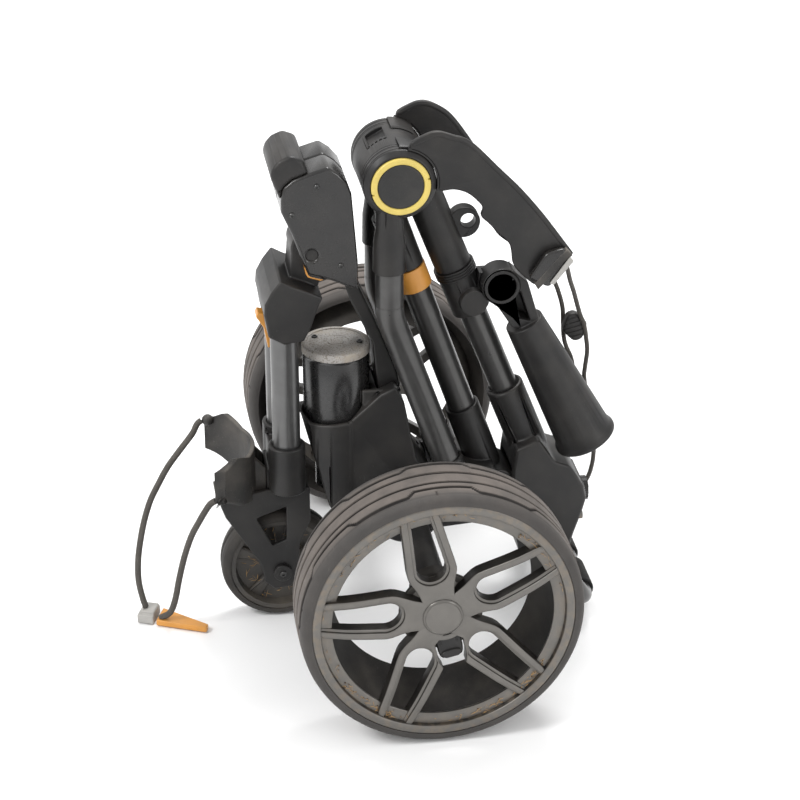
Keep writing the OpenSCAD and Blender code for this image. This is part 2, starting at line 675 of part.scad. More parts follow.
module handle_loop() {
    color("dimgray") place() loop_place() for (far = [false, true]) flip(far) {
        rotate([0, 90, 0]) cylinder(r = 11, h = loop_x - loop_bend);
        translate([loop_x - loop_bend, loop_bend, 0]) rotate(-90)
            rotate_extrude(angle = 90) translate([loop_bend, 0]) circle(11);
        translate([loop_x, loop_bend, 0]) rotate([-90, 0, 0]) cylinder(r = 11, h = loop_len - 2 * loop_bend);
        translate([loop_x - loop_bend, loop_len - loop_bend, 0])
            rotate_extrude(angle = 90) translate([loop_bend, 0]) circle(11);
        translate([0, loop_len, 0]) rotate([0, 90, 0]) cylinder(r = 11, h = loop_x - loop_bend);
    }
}
module handle_grips() {
    color("black") place() loop_place() for (far = [false, true]) flip(far)
        pipe([14, loop_len, 0], [loop_x - loop_bend, loop_len, 0], 14.5, 3.5);
}

// ---- umbrella holder ----
hub_p = [104, az + 250];
cup_dir = [0, 0.4446, -0.8957];
cup_x = 22;
holder_r = 21;                    // outside of the cup's ring round the hub
cup_top = [cup_x, 131, az + 203];
module umbrella_hub() {
    color("black") place() union() {
        difference() {
            bar(19, cup_x - 14, cup_x + 14, hub_p);
            bar(15.5, cup_x - 8, cup_x + 20, hub_p);
        }
        bar(7, 2, cup_x + 10, hub_p);
        for (a = [35, 155, 275]) translate([cup_x - 14, hub_p[0], hub_p[1]]) rotate([90, 0, 90]) rotate(a)
            linear_extrude(26) translate([0, -1.5]) square([17, 3]);
    }
}
module umbrella_cup() {
    color("black") place() difference() {
        union() {
            translate(cup_top) rotate([0, 180 - acos(-cup_dir[2]), 90]) rotate_extrude() polygon([
                [0, 0], [21, 0], [cup_r + 1, cup_len - 10], [cup_r + 4, cup_len - 4], [cup_r + 4, cup_len],
                [cup_r, cup_len], [21 - cup_wall, 4], [0, 4]]);
            difference() {
                union() {
                    side(cup_x - 13, cup_x + 13) polygon([hub_p + [-6, -20], hub_p + [12, 18], hub_p + [28, 4],
                        [149, az + 196], [116, az + 202]]);
                    bar(holder_r, cup_x - 13, cup_x + 13, hub_p);
                }
                side(cup_x - 10, cup_x + 20) polygon([hub_p + [0, -22], hub_p + [20, -6], [136, az + 208],
                    [117, az + 214]]);
            }
            side(cup_x - 11, cup_x + 9) polygon([hub_p + [10, -18], hub_p + [13, -16],
                [129, az + 202], [126, az + 203]]);
        }
        bar(19 + run, -60, 80, hub_p);
    }
}

// ---- cords: routes are chosen by hand ----
lower_route = [[-58, -213, az + 69], [-57, -218, az + 65], [-54, -224, az + 55], [-48, -238, az + 40],
    [-42, -253, az + 23], [-36, -265, az + 5], [-29, -275, az - 11], [-22, -283, az - 31], [-14, -289, az - 52],
    [-8, -293, az - 74], [-3, -294, az - 97], [0, -291, az - 117], [0, -288, az - 130]];
lower_route_b = [[56, -209, az + 31], [54, -215, az + 26], [52, -222, az + 14], [50, -228, az + 2],
    [46, -235, az - 14], [42, -241, az - 33], [37, -246, az - 54], [31, -251, az - 80], [25, -256, az - 109],
    [20, -262, az - 128], [13, -272, az - 138]];
module lower_cord() {
    color("gray") place() union() {
        cord(lower_route, cord_d);
        cord(lower_route_b, cord_d);
    }
}
module cord_hook() {
    color("silver") place() translate([-2, -285, 1]) rotate(-22) translate([-12, -9, 0]) {
        cube([26, 19, 11]);
        translate([3, 4, 0]) cube([20, 15, 15]);
    }
}
module hook_blade() {
    color("gold") place() translate([0, 0, 1.5]) linear_extrude(7) polygon([[-8, -268], [17, -278], [41, -224],
        [34, -221]]);
}
upper_route = [[45, 165, az + 288], [44, 168, az + 283], [30, 175, az + 265], [12, 183, az + 242],
    [-4, 191, az + 222], [-15, 197, az + 205], [-20, 203, az + 186], [-22, 209, az + 170], [-23, 212, az + 154],
    [-24, 214, az + 138], [-26, 213, az + 119], [-29, 213, az + 103], [-34, 218, az + 80], [-39, 225, az + 55],
    [-43, 230, az + 30], [-45, 232, az + 12], [-46, 232, az - 1], [-46, 231, az - 17], [-46, 227, az - 34],
    [-46, 219, az - 47], [-48, 210, az - 53], [-52, 202, az - 46], [-55, 199, az - 30], [-56, 199, az - 5],
    [-54, 202, az + 30], [-49, 204, az + 65], [-43, 204, az + 95], [-37, 200, az + 121], [-34, 192, az + 141],
    [-34, 189, az + 154], [-35, 188, az + 172], [-37, 187, az + 189], [-40, 180, az + 213], [-42, 171, az + 229],
    [-44, 162, az + 240], [-45, 152, az + 254], [-45, 143, az + 264], [-45, 137, az + 271]];
module upper_cord() {
    color("gray") place() cord(upper_route, thin_cord_d);
}

gearbox_case();
motor_can();
motor_end_plate();
axle_tubes();
axle_shaft();
spine_beam();
housing_near();
housing_far();
housing_cap();
leg_hinge_pin();
stem_ears();
stem_pivot_pin();
rim_near();
tyre_near();
wheel_cap_near();
wheel_catch_near();
rim_far();
tyre_far();
wheel_cap_far();
wheel_catch_far();
leg_sleeve();
leg_tube_near();
leg_tube_far();
fork_crown();
fork_plate_near();
fork_plate_far();
front_axle();
bag_cradle();
front_rim();
front_tyre();
leg_latch();
release_bar();
stem_tube_near();
stem_tube_far();
stem_strut();
barrel_end_near();
barrel_end_far();
end_rings();
strut_socket();
stem_foot();
latch_collar();
barrel_core();
stem_sleeve();
sleeve_clamp();
support_arm_near();
support_arm_far();
support_bar();
slide_tube();
console_shell();
display_panel();
handle_loop();
handle_grips();
speed_dial();
power_button();
umbrella_hub();
umbrella_cup();
lower_cord();
cord_hook();
hook_blade();
upper_cord();
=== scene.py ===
"""The looks of a folded electric golf trolley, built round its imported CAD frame.

Shapes are worked out in millimetres in the design frame: X runs along the rear axle towards the near
wheel, -Y is the front and Z is up from the ground. They go into the meshes in metres, moved along Y to
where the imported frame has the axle.
"""

import logging
import math
from dataclasses import dataclass
from enum import Enum
from typing import Iterable, Optional, Sequence, Union

import bmesh
import bpy
import numpy as np
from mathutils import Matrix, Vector


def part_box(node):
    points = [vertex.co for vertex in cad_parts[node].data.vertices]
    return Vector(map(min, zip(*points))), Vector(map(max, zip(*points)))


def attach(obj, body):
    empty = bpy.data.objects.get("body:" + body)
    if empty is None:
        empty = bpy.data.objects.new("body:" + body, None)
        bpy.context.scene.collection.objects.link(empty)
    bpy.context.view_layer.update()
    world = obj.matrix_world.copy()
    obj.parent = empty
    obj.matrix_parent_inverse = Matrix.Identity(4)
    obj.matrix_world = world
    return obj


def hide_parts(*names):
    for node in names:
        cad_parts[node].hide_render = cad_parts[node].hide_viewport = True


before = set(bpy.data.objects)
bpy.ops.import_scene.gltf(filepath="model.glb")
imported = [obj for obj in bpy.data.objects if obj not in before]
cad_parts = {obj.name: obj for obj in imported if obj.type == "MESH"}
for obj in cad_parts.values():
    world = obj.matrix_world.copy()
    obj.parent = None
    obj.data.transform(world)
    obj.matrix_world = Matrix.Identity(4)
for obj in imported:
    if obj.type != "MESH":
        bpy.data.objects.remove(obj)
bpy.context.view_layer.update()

LOG = logging.getLogger("trolley")
MM = 0.001
AXLE_Z = 147.0
WHEEL_R = 147.0
WHEEL_IN = 205.0
HALF_W = 285.0
RIM_R = 135.0
HUB_FACE = 273.0


def axle_shift() -> float:
    """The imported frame's place of the rear axle along Y, in millimetres."""
    low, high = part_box("axle_shaft")
    return (low[1] + high[1]) / 2 / MM


SHIFT = np.array([0.0, axle_shift(), 0.0])


class Body(str, Enum):
    """The moving bodies of the trolley."""

    CHASSIS = "chassis"
    NEAR_WHEEL = "near_wheel"
    FAR_WHEEL = "far_wheel"
    FRONT_LEG = "front_leg"
    FRONT_WHEEL = "front_wheel"
    LEG_LATCH = "leg_latch"
    RELEASE = "housing_release"
    LOWER_STEM = "lower_stem"
    STRUT_LATCH = "strut_latch"
    UPPER_STEM = "upper_stem"
    HANDLE = "handle"
    DIAL = "dial"
    BUTTON = "button"
    HOLDER = "umbrella_holder"


# ---------------------------------------------------------------- shapes
@dataclass
class Surface:
    """Points in millimetres, faces, and UVs in metres, one for each point."""

    points: np.ndarray
    faces: list
    uv: Optional[np.ndarray] = None


def grid(points: np.ndarray, close_u: bool = False, close_v: bool = False, cap: bool = False,
         uv: Optional[np.ndarray] = None) -> Surface:
    """Quads over a grid of points; a closed direction joins its last row to its first.

    Args:
        points: rows x columns x 3 array.
        close_u: join the last row to the first.
        close_v: join the last column to the first.
        cap: close the first and last rows with one face each.
        uv: rows x columns x 2 array.

    Returns:
        The surface.
    """
    rows, cols = points.shape[:2]
    i, j = np.meshgrid(np.arange(rows if close_u else rows - 1), np.arange(cols if close_v else cols - 1),
                       indexing="ij")
    a, b = i, (i + 1) % rows
    c, d = j, (j + 1) % cols
    quads = np.stack([a * cols + c, b * cols + c, b * cols + d, a * cols + d], -1).reshape(-1, 4)
    faces = quads.tolist()
    if cap:
        faces += [list(range(cols))[::-1], list(range((rows - 1) * cols, rows * cols))]
    return Surface(points.reshape(-1, 3), faces, None if uv is None else uv.reshape(-1, 2))


def unit(v: Sequence[float]) -> np.ndarray:
    """The vector at length one."""
    v = np.asarray(v, float)
    return v / np.linalg.norm(v)


def lathe(profile: Sequence[Sequence[float]], base: Sequence[float], axis: Sequence[float] = (1, 0, 0),
          steps: int = 96, closed: bool = False) -> Surface:
    """A profile of (distance along the axis, radius) turned round it.

    Point = base + distance * axis + radius * (cos a * side + sin a * up), a going once round.

    Args:
        profile: rows of distance and radius; a radius of zero closes a pole.
        base: where distance is zero.
        axis: direction of the axis.
        steps: points round.
        closed: join the profile's last row to its first, for a ring.

    Returns:
        The surface of revolution.
    """
    w = unit(axis)
    side = unit(np.cross(w, (0, 0, 1) if abs(w[2]) < 0.9 else (1, 0, 0)))
    up = np.cross(w, side)
    p = np.asarray(profile, float)
    a = np.linspace(0, 2 * math.pi, steps, endpoint=False)
    ring = np.cos(a)[:, None] * side + np.sin(a)[:, None] * up
    points = np.asarray(base, float) + p[:, None, :1] * w + p[:, None, 1:2] * ring[None]
    return grid(points, close_u=closed, close_v=True)


def smooth_path(points: Sequence[Sequence[float]], per: int = 6) -> np.ndarray:
    """A Catmull-Rom curve through the points: between two of them it is the cubic with their slopes.

    Args:
        points: the points to pass through.
        per: pieces between two points.

    Returns:
        The denser points.
    """
    p = np.asarray(points, float)
    q = np.vstack([2 * p[0] - p[1], p, 2 * p[-1] - p[-2]])
    t = np.linspace(0, 1, per, endpoint=False)[None, :, None]
    a, b, c, d = (q[k:len(q) - 3 + k, None] for k in range(4))
    s = 0.5 * (2 * b + (c - a) * t + (2 * a - 5 * b + 4 * c - d) * t ** 2 + (3 * b - a - 3 * c + d) * t ** 3)
    return np.vstack([s.reshape(-1, 3), p[-1]])


def path_frames(path: np.ndarray) -> tuple[np.ndarray, np.ndarray]:
    """Two directions across a path at each point, turning with it as little as they can."""
    t = np.gradient(path, axis=0)
    t /= np.linalg.norm(t, axis=1)[:, None]
    n = unit(np.cross(t[0], (0.3, 0.2, 1)))
    normals = [n]
    for k in t[1:]:
        n = unit(n - np.dot(n, k) * k)
        normals.append(n)
    side = np.array(normals)
    return side, np.cross(t, side)


def tube(path: np.ndarray, radius: Union[float, np.ndarray], steps: int = 20) -> Surface:
    """A round bar along a path: point = path + radius * (cos a * side + sin a * up), its ends closed.

    Args:
        path: points of the centreline.
        radius: one radius, or one for each point.
        steps: points round.

    Returns:
        The surface, with UV (length along, length round).
    """
    side, up = path_frames(path)
    r = np.broadcast_to(np.asarray(radius, float), len(path))[:, None, None]
    a = np.linspace(0, 2 * math.pi, steps, endpoint=False)[None, :, None]
    points = path[:, None] + r * (np.cos(a) * side[:, None] + np.sin(a) * up[:, None])
    along = np.concatenate([[0], np.cumsum(np.linalg.norm(np.diff(path, axis=0), axis=1))])
    uv = np.stack(np.broadcast_arrays(along[:, None] * MM, a[0, :, 0][None] * r[:, 0] * MM), -1)
    return grid(points, close_v=True, cap=True, uv=uv)


def rounded(outline: Sequence[Sequence[float]], radius: float, steps: int = 6) -> np.ndarray:
    """An outline with its corners rounded: each corner is the parabola between
    points radius away on its sides.

    Args:
        outline: corners in order, in two dimensions.
        radius: distance from the corner, at most 45% of a side.
        steps: points in a corner.

    Returns:
        The denser outline.
    """
    p = np.asarray(outline, float)
    before, after = np.roll(p, 1, 0) - p, np.roll(p, -1, 0) - p
    lb, la = (np.linalg.norm(v, axis=1)[:, None] for v in (before, after))
    start = p + before / lb * np.minimum(radius, 0.45 * lb)
    end = p + after / la * np.minimum(radius, 0.45 * la)
    t = np.linspace(0, 1, steps)[None, :, None]
    curve = (1 - t) ** 2 * start[:, None] + 2 * t * (1 - t) * p[:, None] + t ** 2 * end[:, None]
    return curve.reshape(-1, 2)


def inset(outline: np.ndarray, by: float) -> np.ndarray:
    """The outline moved inwards: each point goes along the mean of its two sides' normals."""
    d = np.roll(outline, -1, 0) - outline
    d /= np.maximum(np.linalg.norm(d, axis=1), 1e-9)[:, None]
    n = np.stack([-d[:, 1], d[:, 0]], 1)
    m = n + np.roll(n, 1, 0)
    m /= np.maximum((m ** 2).sum(1), 0.6)[:, None] / 2
    area = np.sum(outline[:, 0] * np.roll(outline[:, 1], -1) - np.roll(outline[:, 0], -1) * outline[:, 1])
    return outline + m * by * (1 if area > 0 else -1)


def sector(profile: Sequence[Sequence[float]], centre: Sequence[float], a0: float, a1: float,
           steps: int = 28) -> Surface:
    """A closed profile of (X, radius) swept from one angle to another round a line along X, its ends closed.

    Args:
        profile: rows of X and radius, once round the section.
        centre: Y and Z of the line.
        a0: first angle in degrees from +Y towards +Z.
        a1: last angle.
        steps: rows.

    Returns:
        The part of a ring.
    """
    a = np.radians(np.linspace(a0, a1, steps))[:, None]
    p = np.asarray(profile, float)
    x, r = np.broadcast_to(p[:, 0], (steps, len(p))), p[None, :, 1]
    return grid(np.stack([x, centre[0] + r * np.cos(a), centre[1] + r * np.sin(a)], -1), close_v=True,
                cap=True)


def plate(outline: np.ndarray, x0: float, x1: float, edge: float = 1.0, steps: int = 4) -> Surface:
    """A plate across X from its outline in Y and Z, with quarter-round edges.

    Row k of the grid is the outline inset by edge * (1 - sin a) at edge * (1 - cos a) from the face.

    Args:
        outline: corners in Y and Z.
        x0: lower face.
        x1: upper face.
        edge: radius of the edges.
        steps: rows in an edge.

    Returns:
        The closed surface.
    """
    a = np.linspace(0, math.pi / 2, steps)
    rows = [(x0 + edge * (1 - math.cos(k)), edge * (1 - math.sin(k))) for k in a]
    rows += [(x1 - (x - x0), i) for x, i in reversed(rows)]
    points = np.array([np.column_stack([np.full(len(outline), x), inset(outline, i)]) for x, i in rows])
    return grid(points, close_v=True, cap=True)


def joined(parts: Iterable[Surface]) -> Surface:
    """Several surfaces as one."""
    points, faces, start = [], [], 0
    for s in parts:
        points.append(s.points)
        faces += [[v + start for v in f] for f in s.faces]
        start += len(s.points)
    return Surface(np.vstack(points), faces)


def mirrored(s: Surface) -> Surface:
    """The surface on the other side of the plane X = 0."""
    return Surface(s.points * (-1, 1, 1), [f[::-1] for f in s.faces], s.uv)


def turned(s: Surface, about: Sequence[float], degrees: float) -> Surface:
    """The surface turned about a line along X, from +Y towards +Z."""
    a = math.radians(degrees)
    c = np.array([0.0, about[0], about[1]])
    m = np.array([[1, 0, 0], [0, math.cos(a), -math.sin(a)], [0, math.sin(a), math.cos(a)]])
    return Surface((s.points - c) @ m.T + c, s.faces, s.uv)


def screw(at: Sequence[float], axis: Sequence[float], r: float) -> Surface:
    """A round screw head with a shallow round socket: one lathed ring."""
    head = lathe([(-1.5, 0), (-1.5, r), (1.0, r), (1.6, r - 0.6), (1.6, r * 0.55), (0.2, r * 0.5), (0.2, 0)],
                 at, axis, 24)
    return head


# ---------------------------------------------------------------- materials
class Nodes:
    """Adds nodes to a tree and links their inputs."""

    def __init__(self, tree: bpy.types.NodeTree) -> None:
        """Keep the tree."""
        self.tree = tree

    def add(self, kind: str, inputs: Optional[dict] = None, **settings: object) -> bpy.types.Node:
        """A new node; an input is a socket to link from or a value to set."""
        node = self.tree.nodes.new(kind)
        for key, value in settings.items():
            setattr(node, key, value)
        for key, value in (inputs or {}).items():
            if isinstance(value, bpy.types.NodeSocket):
                self.tree.links.new(value, node.inputs[key])
            else:
                node.inputs[key].default_value = value
        return node

    def math(self, operation: str, a: object, b: object = 0.0, clamp: bool = False) -> bpy.types.NodeSocket:
        """One sum on values."""
        return self.add("ShaderNodeMath", {0: a, 1: b}, operation=operation, use_clamp=clamp).outputs[0]

    def noise(self, at: bpy.types.NodeSocket, scale: object, detail: float = 3.0) -> bpy.types.NodeSocket:
        """Noise from 0 to 1."""
        return self.add("ShaderNodeTexNoise", {"Vector": at, "Scale": scale, "Detail": detail}).outputs[0]

    def ramp(self, value: bpy.types.NodeSocket, low: float, high: float) -> bpy.types.NodeSocket:
        """The value, stretched so that low is 0 and high is 1, with soft ends."""
        return self.add("ShaderNodeMapRange", {0: value, 1: low, 2: high},
                        interpolation_type="SMOOTHSTEP").outputs[0]

    def mix(self, by: object, a: object, b: object) -> bpy.types.NodeSocket:
        """Two colours mixed."""
        node = self.tree.nodes.new("ShaderNodeMix")
        node.data_type = "RGBA"
        for socket, value in ((node.inputs[0], by), (node.inputs[6], a), (node.inputs[7], b)):
            if isinstance(value, bpy.types.NodeSocket):
                self.tree.links.new(value, socket)
            else:
                socket.default_value = value
        return node.outputs[2]


def new_group(name: str, inputs: dict, outputs: dict) -> tuple[bpy.types.NodeTree, Nodes, bpy.types.Node,
                                                               bpy.types.Node]:
    """An empty node group with named sockets.

    Args:
        name: the group's name.
        inputs: socket names with their defaults; a tuple is a colour.
        outputs: socket names with "value" or "colour".

    Returns:
        The group, its builder, its input node and its output node.
    """
    tree = bpy.data.node_groups.new(name, "ShaderNodeTree")
    for key, value in inputs.items():
        kind = "NodeSocketColor" if isinstance(value, tuple) else "NodeSocketFloat"
        tree.interface.new_socket(key, in_out="INPUT", socket_type=kind).default_value = value
    for key, kind in outputs.items():
        tree.interface.new_socket(key, in_out="OUTPUT",
                                  socket_type="NodeSocketColor" if kind == "colour" else "NodeSocketFloat")
    return tree, Nodes(tree), tree.nodes.new("NodeGroupInput"), tree.nodes.new("NodeGroupOutput")


class Effects:
    """The effects that several finishes share, each a node group built once."""

    def __init__(self) -> None:
        """Build the groups."""
        self.grain = self.make_grain()
        self.dust = self.make_dust()
        self.scuff = self.make_scuff()
        self.dirt = self.make_dirt()

    def make_grain(self) -> bpy.types.NodeTree:
        """Height of a moulded grain: fine noise with a little of a coarser one."""
        tree, n, start, end = new_group("moulded_grain", {"Size": 900.0}, {"Height": "value"})
        at = n.add("ShaderNodeTexCoord").outputs["Object"]
        fine = n.noise(at, start.outputs["Size"], 2)
        coarse = n.noise(at, n.math("MULTIPLY", start.outputs["Size"], 0.13), 2)
        height = n.math("ADD", n.math("MULTIPLY", fine, 0.7), n.math("MULTIPLY", coarse, 0.5))
        tree.links.new(height, end.inputs["Height"])
        return tree

    def make_dust(self) -> bpy.types.NodeTree:
        """Dust that lies in patches, thicker on faces that look up, and dulls the finish."""
        tree, n, start, end = new_group(
            "settled_dust", {"Colour": (0.1, 0.1, 0.1, 1.0), "Dust": (0.4, 0.36, 0.3, 1.0), "Amount": 0.3,
                             "Roughness": 0.4}, {"Colour": "colour", "Roughness": "value"})
        coords = n.add("ShaderNodeTexCoord")
        up = n.add("ShaderNodeSeparateXYZ", {0: coords.outputs["Normal"]}).outputs[2]
        lie = n.math("ADD", n.math("MULTIPLY", n.math("MAXIMUM", up, 0.0), 0.65), 0.4)
        patch = n.ramp(n.noise(coords.outputs["Object"], 26.0, 6), 0.35, 0.75)
        speck = n.ramp(n.noise(coords.outputs["Object"], 700.0, 2), 0.62, 0.74)
        mask = n.math("MULTIPLY", n.math("ADD", patch, n.math("MULTIPLY", speck, 0.6)), lie)
        mask = n.math("MULTIPLY", mask, start.outputs["Amount"], clamp=True)
        shade = n.math("ADD", n.math("MULTIPLY", n.noise(coords.outputs["Object"], 60.0, 4), 0.35), 0.82)
        base = n.add("ShaderNodeVectorMath", {0: start.outputs["Colour"], 1: shade},
                     operation="MULTIPLY").outputs[0]
        tree.links.new(n.mix(mask, base, start.outputs["Dust"]), end.inputs["Colour"])
        rough = n.math("ADD", start.outputs["Roughness"], n.math("MULTIPLY", mask, 0.5))
        rough = n.math("ADD", rough, n.math("MULTIPLY", n.noise(coords.outputs["Object"], 90.0, 3), 0.12))
        tree.links.new(n.math("SUBTRACT", rough, 0.06, clamp=True), end.inputs["Roughness"])
        return tree

    def make_scuff(self) -> bpy.types.NodeTree:
        """Thin light scratches: ridges of a noise drawn out along one direction, here and there."""
        tree, n, start, end = new_group("scuffs", {"Amount": 0.3}, {"Mask": "value"})
        at = n.add("ShaderNodeTexCoord").outputs["Object"]
        drawn = n.add("ShaderNodeMapping",
                      {"Vector": at, "Rotation": (0.5, 0.3, 0.8), "Scale": (1.0, 14.0, 5.0)})
        line = n.ramp(n.noise(drawn.outputs[0], 60.0, 2), 0.66, 0.72)
        where = n.ramp(n.noise(at, 18.0, 2), 0.5, 0.68)
        mask = n.math("MULTIPLY", n.math("MULTIPLY", line, where), start.outputs["Amount"], clamp=True)
        tree.links.new(mask, end.inputs["Mask"])
        return tree

    def make_dirt(self) -> bpy.types.NodeTree:
        """Mask of dirt that gathers towards a rim, by the distance from the wheel's axle."""
        tree, n, start, end = new_group("rim_dirt",
                                        {"Low": 0.1, "High": 0.13, "Axle Y": 0.0, "Axle Z": 0.147},
                                        {"Mask": "value"})
        at = n.add("ShaderNodeTexCoord").outputs["Object"]
        place = n.add("ShaderNodeSeparateXYZ", {0: at})
        y = n.math("SUBTRACT", place.outputs[1], start.outputs["Axle Y"])
        z = n.math("SUBTRACT", place.outputs[2], start.outputs["Axle Z"])
        r = n.math("SQRT", n.math("ADD", n.math("MULTIPLY", y, y), n.math("MULTIPLY", z, z)))
        near = n.add("ShaderNodeMapRange",
                     {0: r, 1: start.outputs["Low"], 2: start.outputs["High"]}).outputs[0]
        blot = n.ramp(n.noise(at, 120.0, 5), 0.42, 0.62)
        tree.links.new(n.math("MULTIPLY", near, blot, clamp=True), end.inputs["Mask"])
        return tree


@dataclass(frozen=True)
class Finish:
    """One finish of the trolley: its colour, gloss, grain, dust and wear."""

    name: str
    slot: str
    colour: tuple[float, float, float]
    roughness: float = 0.45
    metallic: float = 0.0
    specular: float = 0.5
    coat: float = 0.0
    grain: float = 900.0
    depth: float = 0.12
    dust: float = 0.25
    dust_colour: tuple[float, float, float] = (0.33, 0.29, 0.245)
    scuff: float = 0.25
    wear: tuple[float, float, float] = (0.2, 0.195, 0.19)
    dirt: float = 0.0
    dirt_low: float = 0.1
    dirt_high: float = 0.136
    axle: tuple[float, float] = (0.0, 0.147)
    pattern: str = "plain"

    def material(self, effects: Effects) -> bpy.types.Material:
        """The finish as a material, its effects placed as node groups."""
        made = bpy.data.materials.get(self.name)
        if made:
            return made
        made = bpy.data.materials.new(self.name)
        made.use_nodes = True
        made.diffuse_color = (*self.colour, 1)
        n = Nodes(made.node_tree)
        shader = made.node_tree.nodes["Principled BSDF"]
        for key, value in (("Metallic", self.metallic), ("Specular IOR Level", self.specular),
                           ("Coat Weight", self.coat), ("Coat Roughness", 0.12)):
            shader.inputs[key].default_value = value
        height = n.add("ShaderNodeGroup", {}, node_tree=effects.grain)
        height.inputs["Size"].default_value = self.grain
        colour: object = (*self.colour, 1)
        high: bpy.types.NodeSocket = height.outputs[0]
        if self.pattern == "braid":
            colour, high = self.braid(n)
        elif self.pattern == "tread":
            colour = self.tread(n)
        elif self.pattern == "rim":
            # painted shade: faces that don't face along the axle, such as the spokes' side walls, are mixed
            # towards near black
            out = n.add("ShaderNodeSeparateXYZ",
                        {0: n.add("ShaderNodeTexCoord").outputs["Normal"]}).outputs[0]
            colour = n.mix(n.ramp(n.math("ABSOLUTE", out), 0.18, 0.62), (0.028, 0.026, 0.024, 1), colour)
        elif self.pattern == "foam":
            high = n.math("MULTIPLY", n.noise(n.add("ShaderNodeTexCoord").outputs["Object"], 1400.0, 3), 1.6)
        elif self.pattern == "speckle":
            at = n.add("ShaderNodeTexCoord").outputs["Object"]
            colour = n.mix(n.ramp(n.noise(at, 520.0, 3), 0.5, 0.62), colour, (0.19, 0.17, 0.15, 1))
            colour = n.mix(n.ramp(n.noise(at, 60.0, 5), 0.5, 0.7), colour, (0.34, 0.3, 0.25, 1))
        if self.scuff:
            marks = n.add("ShaderNodeGroup", {}, node_tree=effects.scuff)
            marks.inputs["Amount"].default_value = self.scuff
            colour = n.mix(marks.outputs[0], colour, (*self.wear, 1))
        if self.dirt:
            soil = n.add("ShaderNodeGroup", {}, node_tree=effects.dirt)
            for key, value in (("Low", self.dirt_low), ("High", self.dirt_high), ("Axle Y", self.axle[0]),
                               ("Axle Z", self.axle[1])):
                soil.inputs[key].default_value = value
            colour = n.mix(n.math("MULTIPLY", soil.outputs[0], self.dirt), colour, (0.2, 0.155, 0.11, 1))
        lie = n.add("ShaderNodeGroup", {}, node_tree=effects.dust)
        lie.inputs["Dust"].default_value = (*self.dust_colour, 1)
        lie.inputs["Amount"].default_value = self.dust
        lie.inputs["Roughness"].default_value = self.roughness
        if isinstance(colour, bpy.types.NodeSocket):
            made.node_tree.links.new(colour, lie.inputs["Colour"])
        else:
            lie.inputs["Colour"].default_value = colour
        bump = n.add("ShaderNodeBump", {"Height": high, "Distance": 0.0006, "Strength": self.depth})
        for a, key in ((lie.outputs["Colour"], "Base Color"), (lie.outputs["Roughness"], "Roughness"),
                       (bump.outputs[0], "Normal")):
            made.node_tree.links.new(a, shader.inputs[key])
        return made

    def braid(self, n: Nodes) -> tuple[bpy.types.NodeSocket, bpy.types.NodeSocket]:
        """Colour and height of a woven sleeve: two sets of slanting strands over the UV."""
        uv = n.add("ShaderNodeSeparateXYZ", {0: n.add("ShaderNodeTexCoord").outputs["UV"]})
        waves = [n.math("SINE", n.math("MULTIPLY", n.math("ADD", uv.outputs[0],
                                                           n.math("MULTIPLY", uv.outputs[1], s)), 2600.0))
                 for s in (1.3, -1.3)]
        high = n.math("MAXIMUM", *waves)
        fleck = n.noise(n.add("ShaderNodeTexCoord").outputs["Object"], 900.0, 2)
        tone = n.math("ADD", n.math("MULTIPLY", high, 0.22), n.math("MULTIPLY", fleck, 0.5))
        dark, light = (tuple(c * k for c in self.colour) + (1.0,) for k in (0.55, 1.5))
        return n.mix(n.ramp(tone, 0.0, 0.6), dark, light), high

    def tread(self, n: Nodes) -> bpy.types.NodeSocket:
        """Rubber that is worn paler and browner round its running band, and near black in its grooves as
        painted shade.
        """
        at = n.add("ShaderNodeTexCoord").outputs["Object"]
        place = n.add("ShaderNodeSeparateXYZ", {0: at})
        across = n.math("ABSOLUTE", n.math("SUBTRACT", n.math("ABSOLUTE", place.outputs[0]), 0.245))
        band = n.ramp(across, 0.037, 0.02)
        blot = n.ramp(n.noise(at, 40.0, 6), 0.3, 0.75)
        pale = n.mix(blot, (0.125, 0.107, 0.095, 1), (0.085, 0.075, 0.068, 1))
        y = n.math("SUBTRACT", place.outputs[1], axle_shift() * MM)
        z = n.math("SUBTRACT", place.outputs[2], AXLE_Z * MM)
        out = n.math("SQRT", n.math("ADD", n.math("MULTIPLY", y, y), n.math("MULTIPLY", z, z)))
        # painted shade: where the surface lies below 145.2 mm from the axle within 30 mm of the tread's
        # middle, that is in the grooves, the colour is mixed to near black
        groove = n.math("MULTIPLY", n.ramp(out, 0.1461, 0.1452), n.ramp(across, 0.034, 0.030))
        worn = n.mix(band, (*self.colour, 1), pale)
        return n.mix(groove, worn, (0.02, 0.018, 0.017, 1))


BLACK = Finish("matte_black_plastic", "black_plastic", (0.0125, 0.012, 0.012), 0.42, specular=0.36, dust=0.07,
               scuff=0.12)
GLOSS = Finish("glossy_black_plastic", "black_plastic", (0.011, 0.0105, 0.0105), 0.26, specular=0.42,
               coat=0.2,
               dust=0.05, depth=0.06, scuff=0.1)
DISC = Finish("grained_end_disc", "black_plastic", (0.02, 0.02, 0.02), 0.6, specular=0.4, grain=1500.0,
              depth=0.7,
              dust=0.15)
DUSTY = Finish("dusty_black_plastic", "black_plastic", (0.022, 0.021, 0.02), 0.5, specular=0.4, dust=0.4)
TUBE = Finish("gunmetal_tube", "tube_metal", (0.075, 0.074, 0.073), 0.3, 0.7, depth=0.02, grain=1800.0,
              dust=0.03,
              scuff=0.06, wear=(0.2, 0.2, 0.2))
